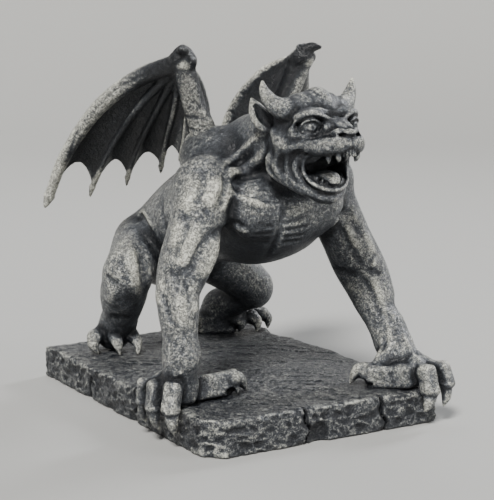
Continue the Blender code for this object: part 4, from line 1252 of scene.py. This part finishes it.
# %% The wash and dry brush as one group
def stone_paint():
    """Colour = dark, then middle where not hollow or shaded, then light where sharp or where the grain
    is high, then near black in the deepest hollows and shut-away places, as a wash and as painted
    shade. Fine wandering lines are cut dark into it, or stay light where Veins is more than 0.
    Height = grain and lines, which a Bump node scales."""
    tree = bpy.data.node_groups.new("stone_paint", "ShaderNodeTree")
    for name, kind, value in (
        ("Place", "Vector", None), ("Wash_and_shade", "Float", 0.0), ("Worn", "Float", 0.0),
        ("Dark", "Color", (0.01, 0.01, 0.01, 1)), ("Middle", "Color", (0.1, 0.1, 0.1, 1)),
        ("Light", "Color", (0.4, 0.4, 0.4, 1)), ("Brush", "Float", 0.5), ("Veins", "Float", 0.0),
    ):
        socket = tree.interface.new_socket(name, in_out="INPUT", socket_type="NodeSocket" + kind)
        if value is not None:
            socket.default_value = value
    for name, kind in (("Color", "Color"), ("Roughness", "Float"), ("Height", "Float")):
        tree.interface.new_socket(name, in_out="OUTPUT", socket_type="NodeSocket" + kind)
    n = Nodes(tree)
    given = n.add("NodeGroupInput").outputs
    place = given["Place"]
    # four sizes of noise, from patches 12 mm wide to grain 0.3 mm wide
    patch = n.noise(place, 85.0, 2.0)
    blotch = n.noise(place, 420.0, 3.0, 0.6, 0.7)
    worm = n.noise(place, 900.0, 3.0, 0.65, 1.2)
    grain = n.noise(place, 3200.0, 2.0)
    # the brush's level: more where it is worn and on the grain, less where it is hollow or gets painted shade
    level = n.math("ADD", given["Worn"], given["Brush"])
    for value, weight in ((given["Wash_and_shade"], -0.7), (patch, 0.35), (blotch, 0.45), (worm, 1.9)):
        level = n.math("MULTIPLY_ADD", value, weight, level)
    level = n.math("SUBTRACT", level, 1.35)
    line = n.math("ABSOLUTE", n.math("SUBTRACT", n.noise(place, 540.0, 3.0, 0.5, 1.0), 0.5))
    beside = n.ramp(line, 0.005, 0.085)  # 0 on a line, 1 away from it
    level = n.math("MULTIPLY_ADD", given["Veins"], n.math("SUBTRACT", 1.0, beside), level)
    base = n.mix(n.ramp(level, -0.40, 0.40), given["Dark"], given["Middle"])
    brushed = n.ramp(level, 0.10, 1.05)
    colour = n.mix(n.math("MULTIPLY", brushed, 0.92), base, given["Light"])
    # near black in the deepest hollows: a wash, and painted shade in shut-away places, on what faces down and
    # beside the figure
    wash_and_shade_share = n.ramp(n.math("MULTIPLY_ADD", worm, 0.9, given["Wash_and_shade"]), 0.80, 1.50)
    colour = n.mix(n.math("MULTIPLY", wash_and_shade_share, 0.85), colour, (0.006, 0.007, 0.009, 1))
    cut = n.math("MULTIPLY_ADD", beside, -0.72, 0.72)
    cut = n.math("MULTIPLY", cut, n.math("SUBTRACT", 1.0, given["Veins"]))
    colour = n.mix(cut, colour, (0.016, 0.018, 0.022, 1))
    height = n.math("MULTIPLY_ADD", grain, 0.25, n.math("MULTIPLY", worm, 0.8))
    height = n.math("MULTIPLY_ADD", beside, 0.6, height)
    rough = n.math("MULTIPLY_ADD", brushed, 0.14, 0.36)
    n.add("NodeGroupOutput", {"Color": colour, "Roughness": rough, "Height": height})
    return tree


STONE_PAINT = stone_paint()


def linear(red, green, blue):
    """A paint colour given as on a screen, 0 to 255, turned to the linear values that nodes use."""
    share = np.array([red, green, blue]) / 255
    return (*np.where(share > 0.04045, ((share + 0.055) / 1.055) ** 2.4, share / 12.92), 1.0)


BUMP_HEIGHT = 0.35  # how deep the fine bumps look, in mm


def painted(name, dark, middle, light, brush, veins=0.0):
    """A material of painted cast stone."""
    material = bpy.data.materials.new(name)
    material.use_nodes = True
    n = Nodes(material.node_tree)
    shader = material.node_tree.nodes["Principled BSDF"]
    place = n.add("ShaderNodeTexCoord").outputs["Object"]
    # the hollow measure carries both the wash and the painted shade
    hollow = n.add("ShaderNodeAttribute", attribute_name="hollow").outputs["Fac"]
    worn = n.add("ShaderNodeAttribute", attribute_name="worn").outputs["Fac"]
    paint = n.add("ShaderNodeGroup", node_tree=STONE_PAINT)
    for key, value in (("Dark", dark), ("Middle", middle), ("Light", light)):
        paint.inputs[key].default_value = linear(*value)
    paint.inputs["Brush"].default_value = brush
    paint.inputs["Veins"].default_value = veins
    for key, socket in (("Place", place), ("Wash_and_shade", hollow), ("Worn", worn)):
        material.node_tree.links.new(socket, paint.inputs[key])
    made = paint.outputs
    bump = n.add("ShaderNodeBump", {"Height": made["Height"], "Distance": BUMP_HEIGHT * MM, "Strength": 1.0})
    normal = bump.outputs["Normal"]
    for key, socket in (("Base Color", made["Color"]), ("Roughness", made["Roughness"]),
                        ("Normal", normal)):
        material.node_tree.links.new(socket, shader.inputs[key])
    shader.inputs["Specular IOR Level"].default_value = 0.45
    return material


# %% Dress the four castings
figure_paint = painted("figure_paint", (24, 27, 33), (86, 90, 96), (222, 221, 208), 0.32)
wing_paint = painted("wing_paint", (14, 16, 20), (56, 60, 66), (212, 211, 200), 0.10)
slab_paint = painted("slab_paint", (24, 27, 33), (78, 81, 86), (212, 212, 200), -0.04, veins=0.60)
figure_piece.data.materials.append(figure_paint)
for wing in wing_pieces:
    wing.data.materials.append(wing_paint)
slab_piece.data.materials.append(slab_paint)
print("four castings painted")
